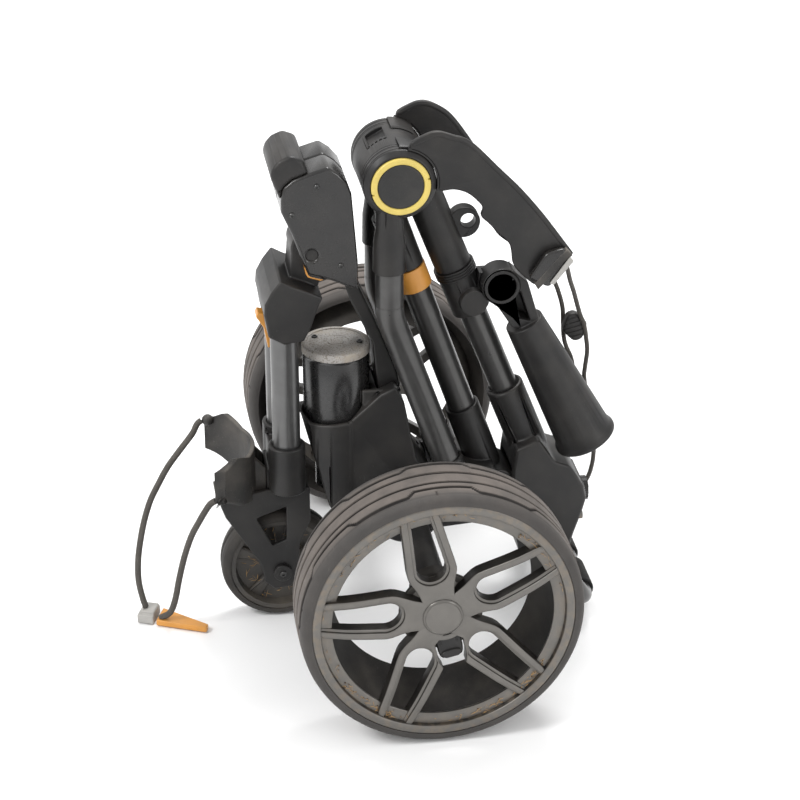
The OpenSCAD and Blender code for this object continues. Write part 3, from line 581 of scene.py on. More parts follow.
# A lighter copy of the gunmetal tube finish in the same slot, for the front leg tubes: its extra lightness is
# painted highlight.
TUBE_PAINTED_HIGHLIGHT = Finish("leg_tube_painted_highlight", "tube_metal", (0.12, 0.12, 0.12), 0.3, 0.8, depth=0.02, grain=1800.0,
                dust=0.03,
                scuff=0.06, wear=(0.25, 0.25, 0.25))
STEEL = Finish("bright_steel", "steel", (0.5, 0.5, 0.49), 0.28, 0.95, depth=0.03, dust=0.15)
SCREW = Finish("dark_screw", "steel", (0.07, 0.07, 0.07), 0.32, 0.8, depth=0.03, dust=0.1)
CAN = Finish("motor_can_gloss", "motor_steel", (0.01, 0.01, 0.0105), 0.27, specular=0.6, coat=0.15,
             depth=0.02,
             dust=0.04, scuff=0.08)
FACE = Finish("motor_face_dusty", "motor_face", (0.36, 0.345, 0.325), 0.55, 0.2, depth=0.25, dust=0.5,
              pattern="speckle")
# The rim finish's rim pattern paints shade on faces that don't face along the axle; its brown dirt towards
# the rim is real dirt.
RIM = Finish("rim_satin_grey", "rim_grey", (0.135, 0.128, 0.118), 0.33, 0.5, depth=0.1, grain=1300.0,
             dust=0.12,
             dirt=0.7, axle=(axle_shift() * MM, 0.147), dirt_low=0.108, dirt_high=0.15,
             wear=(0.32, 0.3, 0.28),
             pattern="rim")
# Near-black finish for the rim's inside in the rim's own slot: painted shade standing in for the shade there.
RIM_BARREL_SHADE = Finish("rim_barrel_painted_shade", "rim_grey", (0.02, 0.018, 0.0165), 0.6, 0.1, specular=0.3, dust=0.12)
TYRE = Finish("dusty_rubber", "tyre_rubber", (0.05, 0.0465, 0.044), 0.66, specular=0.3, grain=600.0,
              depth=0.5,
              dust=0.16, dust_colour=(0.2, 0.17, 0.15), pattern="tread", scuff=0.2, wear=(0.17, 0.15, 0.14))
FRONT_TYRE = Finish("front_rubber", "tyre_rubber", (0.03, 0.028, 0.026), 0.66, specular=0.3, grain=700.0,
                    depth=0.4,
                    dust=0.4, dust_colour=(0.16, 0.14, 0.12))
FRONT_RIM = Finish("front_rim_grey", "rim_grey", (0.05, 0.047, 0.044), 0.5, 0.2, dust=0.45,
                   dust_colour=(0.2, 0.17, 0.13))
GOLD = Finish("golden_plastic", "gold_plastic", (0.6, 0.265, 0.045), 0.36, depth=0.05, dust=0.1,
              wear=(0.8, 0.5, 0.2))
YELLOW = Finish("pale_yellow_plastic", "ring_yellow", (0.62, 0.48, 0.115), 0.4, depth=0.05, dust=0.1,
                wear=(0.8, 0.7, 0.3))
DISPLAY = Finish("display_panel_grey", "display_grey", (0.04, 0.04, 0.042), 0.18, coat=0.4, depth=0.03,
                 dust=0.1)
GRIP = Finish("foam_grip", "grip_foam", (0.018, 0.018, 0.018), 0.85, specular=0.25, depth=0.6, dust=0.1,
              pattern="foam", scuff=0.0)
CORD = Finish("woven_cord", "cord_grey", (0.085, 0.078, 0.07), 0.75, specular=0.25, depth=0.7, dust=0.1,
              pattern="braid", scuff=0.0)
HOOK = Finish("hook_pale_plastic", "hook_grey", (0.36, 0.35, 0.33), 0.45, depth=0.1, dust=0.2)
STRAW = Finish("dry_grass", "rim_grey", (0.36, 0.22, 0.09), 0.8, depth=0.1, dust=0.1, scuff=0.0)
SOIL = Finish("caked_soil", "rim_grey", (0.09, 0.062, 0.04), 0.9, depth=0.9, grain=500.0, dust=0.2, scuff=0.0)


# ---------------------------------------------------------------- making pieces
class Workshop:
    """Turns shapes and CAD nodes into dressed pieces that ride on a body."""

    def __init__(self) -> None:
        """Build the shared effects."""
        self.effects = Effects()

    def finish_mesh(self, mesh: bpy.types.Mesh, angle: float) -> None:
        """Shade smooth, with edges sharper than the angle kept."""
        mesh.shade_smooth()
        mesh.set_sharp_from_angle(angle=math.radians(angle))

    def dress(self, obj: bpy.types.Object, body: Body, finish: Finish,
              nodes: Sequence[str]) -> bpy.types.Object:
        """Give a piece its material and body, and hide the CAD nodes that it stands for."""
        obj.data.materials.clear()
        obj.data.materials.append(finish.material(self.effects))
        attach(obj, body.value)
        if nodes:
            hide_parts(*nodes)
        return obj

    def add(self, name: str, parts: Union[Surface, Sequence[Surface]], body: Body, finish: Finish,
            replaces: Sequence[str] = (), angle: float = 32.0) -> bpy.types.Object:
        """A new piece from surfaces in the design frame.

        Args:
            name: the piece's name.
            parts: one surface or several.
            body: the body it rides on.
            finish: its finish.
            replaces: CAD nodes that it stands for.
            angle: edges sharper than this stay sharp.

        Returns:
            The object, at the origin, with its place in its mesh.
        """
        s = parts if isinstance(parts, Surface) else joined(parts)
        mesh = bpy.data.meshes.new(name)
        mesh.from_pydata(((s.points + SHIFT) * MM).tolist(), [], s.faces)
        if s.uv is not None:
            layer = mesh.uv_layers.new(name="along")
            index = np.empty(len(mesh.loops), dtype=np.int32)
            mesh.loops.foreach_get("vertex_index", index)
            layer.data.foreach_set("uv", s.uv[index].astype(np.float32).ravel())
        work = bmesh.new()
        work.from_mesh(mesh)
        bmesh.ops.remove_doubles(work, verts=work.verts, dist=2e-6)
        bmesh.ops.dissolve_degenerate(work, edges=work.edges, dist=1e-6)
        bmesh.ops.recalc_face_normals(work, faces=work.faces)
        work.to_mesh(mesh)
        work.free()
        self.finish_mesh(mesh, angle)
        obj = bpy.data.objects.new(name, mesh)
        bpy.context.scene.collection.objects.link(obj)
        return self.dress(obj, body, finish, replaces)

    def soften(self, node: str, body: Body, finish: Finish, width: float = 1.0, keep: float = 24.0,
               clamp: bool = False) -> bpy.types.Object:
        """A copy of a CAD node with rounded edges, standing for it.

        Args:
            node: the CAD node.
            body: its body.
            finish: its finish.
            width: width of the rounding in millimetres; zero only smooths the shading.
            keep: only edges sharper than this are rounded.
            clamp: hold the rounding back where faces are narrow.

        Returns:
            The piece.
        """
        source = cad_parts[node]
        work = bmesh.new()
        work.from_mesh(source.data)
        bmesh.ops.remove_doubles(work, verts=work.verts, dist=1e-5)
        bmesh.ops.dissolve_limit(work, angle_limit=math.radians(1.0), verts=work.verts, edges=work.edges)
        mesh = bpy.data.meshes.new(node + "_soft")
        work.to_mesh(mesh)
        work.free()
        obj = bpy.data.objects.new(node + "_soft", mesh)
        bpy.context.scene.collection.objects.link(obj)
        if width:
            edge = obj.modifiers.new("edges", "BEVEL")
            edge.width = width * MM
            edge.segments = 3
            edge.limit_method = "ANGLE"
            edge.angle_limit = math.radians(keep)
            edge.use_clamp_overlap = clamp
            edge.harden_normals = False
            edge.miter_outer = "MITER_ARC"
        self.finish_mesh(mesh, 30.0)
        return self.dress(obj, body, finish, [node])

    def paint(self, node: str, finish: Finish) -> None:
        """Give a CAD node that stays a finish."""
        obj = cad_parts[node]
        made = finish.material(self.effects)
        if obj.material_slots:
            for s in obj.material_slots:
                s.material = made
        else:
            obj.data.materials.append(made)


# ---------------------------------------------------------------- stage
@dataclass
class Studio:
    """Pale floor, soft light, and the camera."""

    lens: float = 108.07
    place: tuple[float, float, float] = (2.29005, -0.38376, 1.46847)
    tilt: float = 90 - 27.64
    heading: float = 80.76
    sky: float = 0.95

    def camera(self) -> None:
        """The camera, looking down at the trolley from the side of its near wheel."""
        data = bpy.data.cameras.new("view_camera")
        data.lens = self.lens
        data.sensor_width = 36.0
        obj = bpy.data.objects.new("view_camera", data)
        obj.location = self.place
        obj.rotation_euler = (math.radians(self.tilt), 0.0, math.radians(self.heading))
        bpy.context.scene.collection.objects.link(obj)
        bpy.context.scene.camera = obj

    def light(self, name: str, place: Sequence[float], size: float, power: float) -> None:
        """One large soft lamp that looks at the middle of the trolley."""
        data = bpy.data.lights.new(name, "AREA")
        data.shape = "DISK"
        data.size = size
        data.energy = power
        obj = bpy.data.objects.new(name, data)
        obj.location = place
        aim = Vector((0, 0, 0.25)) - Vector(place)
        obj.rotation_euler = aim.to_track_quat("-Z", "Y").to_euler()
        bpy.context.scene.collection.objects.link(obj)

    def build(self) -> None:
        """Everything that isn't the trolley."""
        self.camera()
        scene = bpy.context.scene
        scene.view_settings.view_transform = "Standard"
        world = bpy.data.worlds.new("soft_sky")
        world.use_nodes = True
        sky = world.node_tree.nodes["Background"]
        sky.inputs["Color"].default_value = (1.0, 1.0, 1.0, 1)
        sky.inputs["Strength"].default_value = self.sky
        scene.world = world
        self.light("key_lamp", (0.9, -1.9, 2.3), 0.9, 40)
        self.light("fill_lamp", (2.2, 1.9, 1.2), 1.0, 14)
        self.light("top_lamp", (-0.9, 0.5, 2.5), 1.0, 40)
        mesh = bpy.data.meshes.new("studio_floor")
        a = 9.0
        mesh.from_pydata([(-a, -a, 0), (a, -a, 0), (a, a, 0), (-a, a, 0)], [], [(0, 1, 2, 3)])
        floor = bpy.data.objects.new("studio_floor", mesh)
        made = bpy.data.materials.new("pale_floor")
        made.use_nodes = True
        shader = made.node_tree.nodes["Principled BSDF"]
        shader.inputs["Base Color"].default_value = (0.93, 0.93, 0.93, 1)
        shader.inputs["Roughness"].default_value = 0.9
        shader.inputs["Specular IOR Level"].default_value = 0.1
        mesh.materials.append(made)
        scene.collection.objects.link(floor)


# ---------------------------------------------------------------- cords
@dataclass
class Cords:
    """The elastic bag cords, their hook and the toggle."""

    lower_d: float = 7.0
    upper_d: float = 5.0

    LOWER = [(-58, -213, 69), (-57, -218, 65), (-54, -224, 55), (-48, -238, 40), (-42, -253, 23),
             (-36, -265, 5),
             (-29, -275, -11), (-22, -283, -31), (-14, -289, -52), (-8, -293, -74), (-3, -294, -97),
             (0, -291, -117), (0, -288, -130)]
    LOWER_B = [(56, -209, 31), (54, -215, 26), (52, -222, 14), (50, -228, 2), (46, -235, -14),
               (42, -241, -33),
               (37, -246, -54), (31, -251, -80), (25, -256, -109), (20, -262, -128), (13, -272, -138)]
    UPPER = [(45, 165, 288), (44, 168, 283), (30, 175, 265), (12, 183, 242), (-4, 191, 222), (-15, 197, 205),
             (-20, 203, 186), (-22, 209, 170), (-23, 212, 154), (-24, 214, 138), (-26, 213, 119),
             (-29, 213, 103),
             (-34, 218, 80), (-39, 225, 55), (-43, 230, 30), (-45, 232, 12), (-46, 232, -1), (-46, 231, -17),
             (-46, 227, -34), (-46, 219, -47), (-48, 210, -53), (-52, 202, -46), (-55, 199, -30),
             (-56, 199, -5),
             (-54, 202, 30), (-49, 204, 65), (-43, 204, 95), (-37, 200, 121), (-34, 192, 141),
             (-34, 189, 154),
             (-35, 188, 172), (-37, 187, 189), (-40, 180, 213), (-42, 171, 229), (-44, 162, 240),
             (-45, 152, 254),
             (-45, 143, 264), (-45, 137, 271)]

    def lay(self, shop: Workshop, name: str, route: Sequence[Sequence[float]], d: float, body: Body,
            node: str,
            pieces: Sequence[bpy.types.Object]) -> None:
        """One cord along its route."""
        path = smooth_path([(x, y, z + AXLE_Z) for x, y, z in route])
        obj = shop.add(name, tube(path, d / 2, 18), body, CORD, [node], angle=60)

    def hook(self, shop: Workshop) -> list[bpy.types.Object]:
        """The cord's hook: a pale ribbed block and its golden blade."""
        block = shop.soften("cord_hook", Body.FRONT_LEG, HOOK, 1.6)
        blade = shop.soften("hook_blade", Body.FRONT_LEG, GOLD, 1.2)
        return [block, blade]

    def toggle(self, shop: Workshop) -> bpy.types.Object:
        """The ridged diamond that joins the two strands of the upper cord."""
        c = np.array([-28.5, 199.0, AXLE_Z + 168.0])
        t = math.radians(14)
        turn = np.array([[math.cos(t), -math.sin(t)], [math.sin(t), math.cos(t)]])
        outline = rounded([(-15, 0), (-5, -17), (5, -17), (15, 0), (5, 17), (-5, 17)], 5)
        body = plate(outline @ turn.T + c[1:], c[0] - 5.5, c[0] + 5.5, 2.2)
        ribs = [plate(rounded([(-w, h - 1.1), (w, h - 1.1), (w, h + 1.1), (-w, h + 1.1)], 1) @ turn.T + c[1:],
                      c[0] - 6.6, c[0] + 6.6, 0.8) for w,
                      h in ((6, -11), (10, -5.5), (12, 0), (10, 5.5), (6, 11))]
        return shop.add("cord_toggle", [body, *ribs], Body.UPPER_STEM, BLACK)

    def build(self, shop: Workshop) -> None:
        """Both lower strands and the upper loop."""
        hook = self.hook(shop)
        self.lay(shop, "bag_cord_far", self.LOWER, self.lower_d, Body.FRONT_LEG, "lower_cord",
                 hook)
        self.lay(shop, "bag_cord_near", self.LOWER_B, self.lower_d, Body.FRONT_LEG, "lower_cord",
                 hook)
        self.lay(shop, "bag_cord_upper", self.UPPER, self.upper_d, Body.UPPER_STEM, "upper_cord",
                 [self.toggle(shop)])


# ---------------------------------------------------------------- wheels
@dataclass
class RearWheel:
    """A rear wheel: grooved tyre, rim with five U-shaped spoke pairs, cap, catch and dry grass."""

    far: bool
    lip: float = 9.0
    ledge: float = 12.0
    ledge_deep: float = 6.0
    spoke_deep: float = 15.0
    pairs: int = 5
    start: float = 102.0
    slot_end: float = 57.5
    slot_r: float = 15.0
    seed: int = 7

    @property
    def side(self) -> str:
        """Which wheel it is."""
        return "far" if self.far else "near"

    @property
    def body(self) -> Body:
        """The wheel's body."""
        return Body.FAR_WHEEL if self.far else Body.NEAR_WHEEL

    def flip(self, parts: Sequence[Surface]) -> list[Surface]:
        """The parts on this wheel's side."""
        return [mirrored(p) for p in parts] if self.far else list(parts)

    def tyre(self) -> Surface:
        """The tyre: a section carried round the axle, its tread lowered where a groove runs.

        radius = section - depth where |x - groove(angle)| is small; groove(angle) jogs sideways at each
        pitch.
        """
        d = np.concatenate([[-40, -40, -39.6, -38.6, -37], np.linspace(-35.4, 35.4, 119),
                            [37, 38.6, 39.6, 40, 40]])
        shape_x = [0, 14, 24, 30, 34, 37, 38.6, 39.6, 40]
        shape_r = [0, 0.15, 0.5, 1.0, 2.0, 3.6, 5.2, 7.0, 9.0]
        r = WHEEL_R - np.interp(np.abs(d), shape_x, shape_r)
        r[0] = r[-1] = RIM_R
        r[1] = r[-2] = WHEEL_R - 8.6
        a = np.linspace(0, 2 * math.pi, 480, endpoint=False)[:, None]
        depth = np.zeros((480, len(d)))
        jog = np.clip(np.sin(7 * a) * 5, -1, 1)
        for centre, half, low, swing in ((-25.0, 1.7, 2.6, 3.0), (-8.5, 1.6, 2.4, 0.0), (10.0, 1.6, 2.4, 0.0),
                                         (24.0, 2.0, 2.8, 4.0)):
            away = np.abs(d[None] - centre - swing * jog)
            depth = np.maximum(depth, low * np.clip((half + 0.7 - away) / 0.7, 0, 1))
        slit = np.clip((0.5 - np.abs(np.sin(7 * a + 1.2)) * 21) / 0.25, 0,
                       1) * np.clip((33 - np.abs(d[None])) / 1, 0, 1)
        depth = np.maximum(depth, 1.1 * slit * (np.abs(d[None]) > 26))
        radius = r[None] - depth
        x = np.broadcast_to(WHEEL_IN + 40 + d[None], radius.shape)
        points = np.stack([x, radius * np.cos(a), AXLE_Z + radius * np.sin(a)], -1)
        return grid(points, close_u=True, close_v=True)

    def front_at(self, radius: np.ndarray) -> np.ndarray:
        """Where the spokes' faces are along the axle: level at the hub, rising to the lip in a soft S."""
        t = np.clip((radius - 34) / 74, 0, 1)
        return HUB_FACE + 0.6 + 9.2 * t * t * (3 - 2 * t)

    def spoke_pair(self, catch_at: float = 0.0) -> Surface:
        """One U: a stepped section between an outer edge line and the slot's edge line.

        Point = outer + (inner - outer) * share, set back by the section's depth from the face.
        Where the catch
        passes, the outer line is pushed aside to clear it.

        Args:
            catch_at: the catch's angle from this pair in degrees; zero where it is far away.

        Returns:
            The pair, pointing along +Y.
        """
        steps = 23
        arc = np.linspace(-math.pi / 2, -3 * math.pi / 2, steps)
        end, top = self.slot_end, RIM_R - 11
        inner = np.vstack([np.column_stack([np.linspace(top, end, 12),
                                            np.linspace(-9.5, -self.slot_r, 12)])[:-1],
                           np.column_stack([end + self.slot_r * np.cos(arc), self.slot_r * np.sin(arc)]),
                           np.column_stack([np.linspace(end, top, 12),
                                            np.linspace(self.slot_r, 9.5, 12)])[1:]])
        corner = rounded([(RIM_R - 6, -19.5), (53, -26.0), (33, -18.5), (13, -15.5), (13, 0), (13, 15.5),
                          (33, 18.5),
                          (53, 26.0), (RIM_R - 6, 19.5)], 6)
        corner = corner[3:-3]
        s = np.concatenate([[0], np.cumsum(np.linalg.norm(np.diff(corner, axis=0), axis=1))])
        where = np.interp([RIM_R - 6 - 53, 108, 131, s[-1] / 2], [0, s[-1]], [0, s[-1]])
        marks_in = [0, 11, 11 + steps // 2, 11 + steps - 1, len(inner) - 1]
        marks_out = [0.0, where[0] - 4, s[-1] / 2, s[-1] - where[0] + 4, s[-1]]
        at = np.interp(np.arange(len(inner)), marks_in, marks_out)
        outer = np.column_stack([np.interp(at, s, corner[:, k]) for k in (0, 1)])
        if catch_at:
            c, k = math.cos(math.radians(catch_at)), math.sin(math.radians(catch_at))
            along, across = outer @ (c, k), outer @ (-k, c)
            away = -math.copysign(14.6, catch_at)
            push = (along > 19) & (along < 59) & (np.abs(across) < 14.6)
            blend = np.clip((59 - along) / 5, 0, 1)
            across = np.where(push, across + (away - across) * blend, across)
            outer = along[:, None] * np.array([c, k]) + across[:, None] * np.array([-k, c])
        gap = np.maximum(np.linalg.norm(inner - outer, axis=1)[:, None], 0.5)
        way = (inner - outer) / gap
        section = [("o", 0.0, self.spoke_deep), ("o", 0.0, 1.6), ("o", 0.35, 0.7), ("o", 1.1, 0.15),
                   ("o", 1.9, 0.0),
                   ("i", 4.2, 0.0), ("i", 3.6, 0.25), ("i", 3.2, 0.9), ("i", 2.9, 2.6), ("i", 1.1, 3.0),
                   ("i", 0.4, 3.4), ("i", 0.0, 4.6), ("i", 0.0, self.spoke_deep)]
        rows = []
        for edge, off, deep in section:
            flat = outer + way * off if edge == "o" else inner - way * off
            rows.append(np.column_stack([self.front_at(np.linalg.norm(flat, axis=1)) - deep, flat]))
        points = np.stack(rows, 1)
        points[..., 2] += AXLE_Z
        return grid(points, close_v=True, cap=True)

    def rim(self) -> list[Surface]:
        """Lip, ledge, barrel and hub, and the spoke pairs turned into place."""
        lip = lathe([(HALF_W - 3, RIM_R + 0.2), (HALF_W - 0.9, RIM_R - 0.2), (HALF_W - 0.2, RIM_R - 1.2),
                     (HALF_W, RIM_R - 2.4), (HALF_W - 0.1, RIM_R - self.lip + 0.9),
                     (HALF_W - 0.7, RIM_R - self.lip), (HALF_W - 1.6, RIM_R - self.lip - 0.4),
                     (HALF_W - self.ledge_deep, RIM_R - self.lip - 0.8),
                     (HALF_W - self.ledge_deep - 0.5, RIM_R - self.lip - self.ledge + 1.2),
                     (HALF_W - self.ledge_deep - 1.4, RIM_R - self.lip - self.ledge),
                     (HALF_W - self.ledge_deep - 5, RIM_R - self.lip - self.ledge + 0.5),
                     (HALF_W - 24, RIM_R - 9), (HALF_W - 24, RIM_R)],
                    (0, 0, AXLE_Z), steps=192, closed=True)
        hub = lathe([(WHEEL_IN + 8, 0), (WHEEL_IN + 8, 25), (HUB_FACE - 22, 27), (HUB_FACE - 16, 43),
                     (HUB_FACE - 11, 43.5), (HUB_FACE - 12.5, 36), (HUB_FACE - 9, 30.5), (HUB_FACE - 2, 28.6),
                     (HUB_FACE + 0.4, 28.0), (HUB_FACE + 0.6, 27.2), (HUB_FACE + 0.6, 23.6),
                     (HUB_FACE + 0.2, 22.7), (HUB_FACE - 1, 22.3),
                     (HUB_FACE - 4.6, 22.3), (HUB_FACE - 4.6, 0)], (0, 0, AXLE_Z), steps=120)
        spokes = [turned(self.spoke_pair({2: 36.0, 3: -36.0}.get(k, 0.0)), (0, AXLE_Z),
                         self.start + k * 360 / self.pairs) for k in range(self.pairs)]
        return [lip, hub, *spokes]

    def barrel(self) -> list[Surface]:
        """The inside of the rim, which gets a near-black finish as painted shade."""
        return [lathe([(WHEEL_IN + 1, RIM_R), (HALF_W - 18, RIM_R), (HALF_W - 18, RIM_R - 8.5),
                       (HALF_W - 26, RIM_R - 9.5),
                       (WHEEL_IN + 30, RIM_R - 19), (WHEEL_IN + 8, RIM_R - 28), (WHEEL_IN + 2, RIM_R - 30),
                       (WHEEL_IN + 1, RIM_R - 29), (WHEEL_IN + 6, RIM_R - 24), (WHEEL_IN + 24, RIM_R - 12),
                       (WHEEL_IN + 12, RIM_R - 4)], (0, 0, AXLE_Z), steps=128, closed=True)]

    def cap(self) -> list[Surface]:
        """The plain round cap with a bevelled edge and one fine ring."""
        r = 20.8
        return [lathe([(HUB_FACE - 4.8, 0), (HUB_FACE - 4.8, r), (HUB_FACE + 1.2, r),
                       (HUB_FACE + 2.3, r - 0.7),
                       (HUB_FACE + 2.9, r - 1.9), (HUB_FACE + 2.6, r - 2.4), (HUB_FACE + 3.1, r - 2.9),
                       (HUB_FACE + 3.5, 10), (HUB_FACE + 3.6, 0)], (0, 0, AXLE_Z), steps=96)]

    def catch(self) -> list[Surface]:
        """The quick-release tongue under the cap, with its raised lip."""
        low, high = AXLE_Z - 51.0, AXLE_Z - 24.0
        tongue = plate(rounded([(-13, high), (-13.2, low + 8), (-11, low), (11, low), (13.2, low + 8),
                                (13, high)], 4),
                       HUB_FACE - 13.5, HUB_FACE - 1.0, 2.2)
        lip = plate(rounded([(-11, low + 7.5), (-8, low + 1.0), (8, low + 1.0), (11, low + 7.5),
                             (6, low + 9.5),
                             (-6, low + 9.5)], 3), HUB_FACE - 2.5, HUB_FACE + 1.6, 1.5)
        ribs = [plate(rounded([(y - 0.8, high - 9), (y + 0.8, high - 9), (y + 0.8, high - 1),
                               (y - 0.8, high - 1)],
                              0.6), HUB_FACE - 3, HUB_FACE + 0.2, 0.6) for y in (-9, 9)]
        return [turned(p, (0, AXLE_Z), 12.0) for p in (tongue, lip, *ribs)]

    def grass(self) -> tuple[list[Surface], list[Surface]]:
        """Dry blades and crumbs of soil, thickest at the bottom of the ledge and at the slots' ends.

        A blade is a thin three-sided bar along a short arc; its place, heading and curl are drawn at random.
        """
        rng = np.random.default_rng(self.seed + self.far)
        blades, crumbs = [], []
        spots = np.concatenate([rng.normal(-118, 5, 34), rng.normal(-62, 16, 44), rng.normal(-140, 14, 26),
                                rng.normal(-38, 7, 30), rng.normal(50, 28, 24), rng.normal(140, 20, 16)])
        for angle in np.radians(spots):
            r = rng.uniform(RIM_R - 17, RIM_R - 10.5)
            x = HALF_W - self.ledge_deep + rng.uniform(0.0, 1.8)
            here = np.array([x, r * math.cos(angle), AXLE_Z + r * math.sin(angle)])
            heading = angle + math.pi / 2 + rng.normal(0, 0.6)
            way = np.array([rng.normal(0, 0.12), math.cos(heading), math.sin(heading)])
            side = unit(np.cross(way, (1, 0, 0)))
            length, curl = rng.uniform(2, 7.5), rng.normal(0, 1.2)
            t = np.linspace(-0.5, 0.5, 5)[:, None]
            path = here + way * t * length + side * curl * (t * t - 0.1) * 2
            blades.append(tube(path, np.array([0.08, 0.24, 0.3, 0.24, 0.08]) * rng.uniform(0.6, 1.1), 3))
            if rng.random() < 0.55:
                size = rng.uniform(0.35, 1.1)
                at = here + np.array([-0.6, *rng.normal(0, 1.5, 2)])
                crumbs.append(lathe([(-size, 0), (-size * 0.5, size), (size * 0.4, size * 0.8),
                                     (size * 0.7, 0)], at,
                                    rng.normal(0, 1, 3), 6))
        return blades, crumbs

    def build(self, shop: Workshop) -> None:
        """All pieces of the wheel."""
        s = self.side
        shop.add(f"tyre_{s}_tread", self.flip([self.tyre()]), self.body, TYRE, [f"tyre_{s}"], 38)
        shop.add(f"rim_{s}_face", self.flip(self.rim()), self.body, RIM, [f"rim_{s}"], 36)
        # the rim's inside takes the near-black painted shade finish
        shop.add(f"rim_{s}_barrel", self.flip(self.barrel()), self.body, RIM_BARREL_SHADE)
        shop.add(f"hub_cap_{s}", self.flip(self.cap()), self.body, RIM, [f"wheel_cap_{s}"])
        shop.add(f"release_tongue_{s}", self.flip(self.catch()), self.body, BLACK, [f"wheel_catch_{s}"])
        blades, crumbs = self.grass()
        shop.add(f"dry_grass_{s}", self.flip(blades), self.body, STRAW)
        shop.add(f"soil_crumbs_{s}", self.flip(crumbs), self.body, SOIL)


@dataclass
class FrontAssembly:
    """Leg sleeve, leg tubes, fork, cradle, latch and front wheel."""

    centre: tuple[float, float] = (-136.0, 66.0)
    radius: float = 66.0
    width: float = 36.0

    def tyre(self) -> Surface:
        """The front tyre: a rounded section with a groove round its middle, carried round its axle."""
        d = np.linspace(-18, 18, 49)
        r = self.radius - np.interp(np.abs(d), [0, 8, 13, 16, 17.4, 18], [0, 0.3, 1.6, 4.2, 6.6, 8.6])
        r -= 1.6 * np.clip((2.4 - np.abs(d)) / 0.6, 0, 1)
        d = np.concatenate([[-18], d, [18]])
        r = np.concatenate([[self.radius - 9.5], r, [self.radius - 9.5]])
        return lathe(np.column_stack([d, r]), (0, *self.centre), steps=192, closed=True)

    def rim(self) -> list[Surface]:
        """The front rim's ring, five spokes and hub."""
        c = (0, *self.centre)
        w = self.width / 2
        ring = lathe([(-w + 2, self.radius - 9), (-w + 1.2, self.radius - 10.5), (-w + 2, self.radius - 15),
                      (-3, self.radius - 17), (3, self.radius - 17), (w - 2, self.radius - 15),
                      (w - 1.2, self.radius - 10.5), (w - 2, self.radius - 9)], c, steps=128, closed=True)
        hub = lathe([(-w + 1, 6.1), (-w + 1, 13), (-w + 3, 15), (w - 3, 15), (w - 1, 13), (w - 1, 6.1)], c,
                    steps=64,
                    closed=True)
        spoke = plate(rounded([(12, -4), (30, -5.5), (51, -9), (51, 9), (30, 5.5), (12, 4)], 2) + self.centre,
                      -7.5, 7.5, 2.0)
        web = lathe([(-3, 13), (-6, 30), (-8, 51), (5, 51), (2, 30), (4, 13)], c, steps=96, closed=True)
        return [ring, hub, web, *[turned(spoke, self.centre, 90 + 72 * k) for k in range(5)]]

    def grass(self) -> list[Surface]:
        """Dry blades caught inside the rim: thin three-sided bars along short arcs, drawn at random."""
        rng = np.random.default_rng(11)
        blades = []
        for angle in rng.uniform(0, 2 * math.pi, 90):
            r = rng.uniform(24, 47)
            here = np.array([rng.uniform(4.5, 8.5), self.centre[0] + r * math.cos(angle),
                             self.centre[1] + r * math.sin(angle)])
            way = unit([rng.normal(0, 0.3), *rng.normal(0, 1, 2)])
            t = np.linspace(-0.5, 0.5, 4)[:, None]
            path = here + way * t * rng.uniform(4,
                                                10) + np.array([1.0, 0, 0]) * (0.25 - t *
                                                                               t) * rng.uniform(0, 4)
            blades.append(tube(path, np.array([0.1, 0.35, 0.35, 0.1]) * rng.uniform(0.6, 1.2), 3))
        return blades + [mirrored(b) for b in blades[:40]]

    def build(self, shop: Workshop) -> None:
        """All pieces that fold with the front leg."""
        leg = Body.FRONT_LEG
        shop.add("front_tyre_round", self.tyre(), Body.FRONT_WHEEL, FRONT_TYRE, ["front_tyre"], 38)
        shop.add("front_rim_spoked", self.rim(), Body.FRONT_WHEEL, FRONT_RIM, ["front_rim"])
        shop.add("front_grass", self.grass(), Body.FRONT_WHEEL, STRAW)
        shop.soften("leg_sleeve", leg, BLACK, 2.2)
        shop.soften("fork_crown", leg, BLACK, 1.6)
        for side in ("near", "far"):
            shop.soften(f"fork_plate_{side}", leg, BLACK, 1.6)
            # the leg tubes take the lighter tube copy, a painted highlight
            shop.paint(f"leg_tube_{side}", TUBE_PAINTED_HIGHLIGHT)
        shop.soften("bag_cradle", leg, DUSTY, 1.2)
        shop.soften("front_axle", leg, BLACK, 0.8)
        shop.soften("leg_latch", Body.LEG_LATCH, GOLD, 1.0)
        head = screw((24 + 6 + 5.4, *self.centre), (1, 0, 0), 3.4)
        shop.add("leg_screws", [head, mirrored(head)], leg, SCREW)


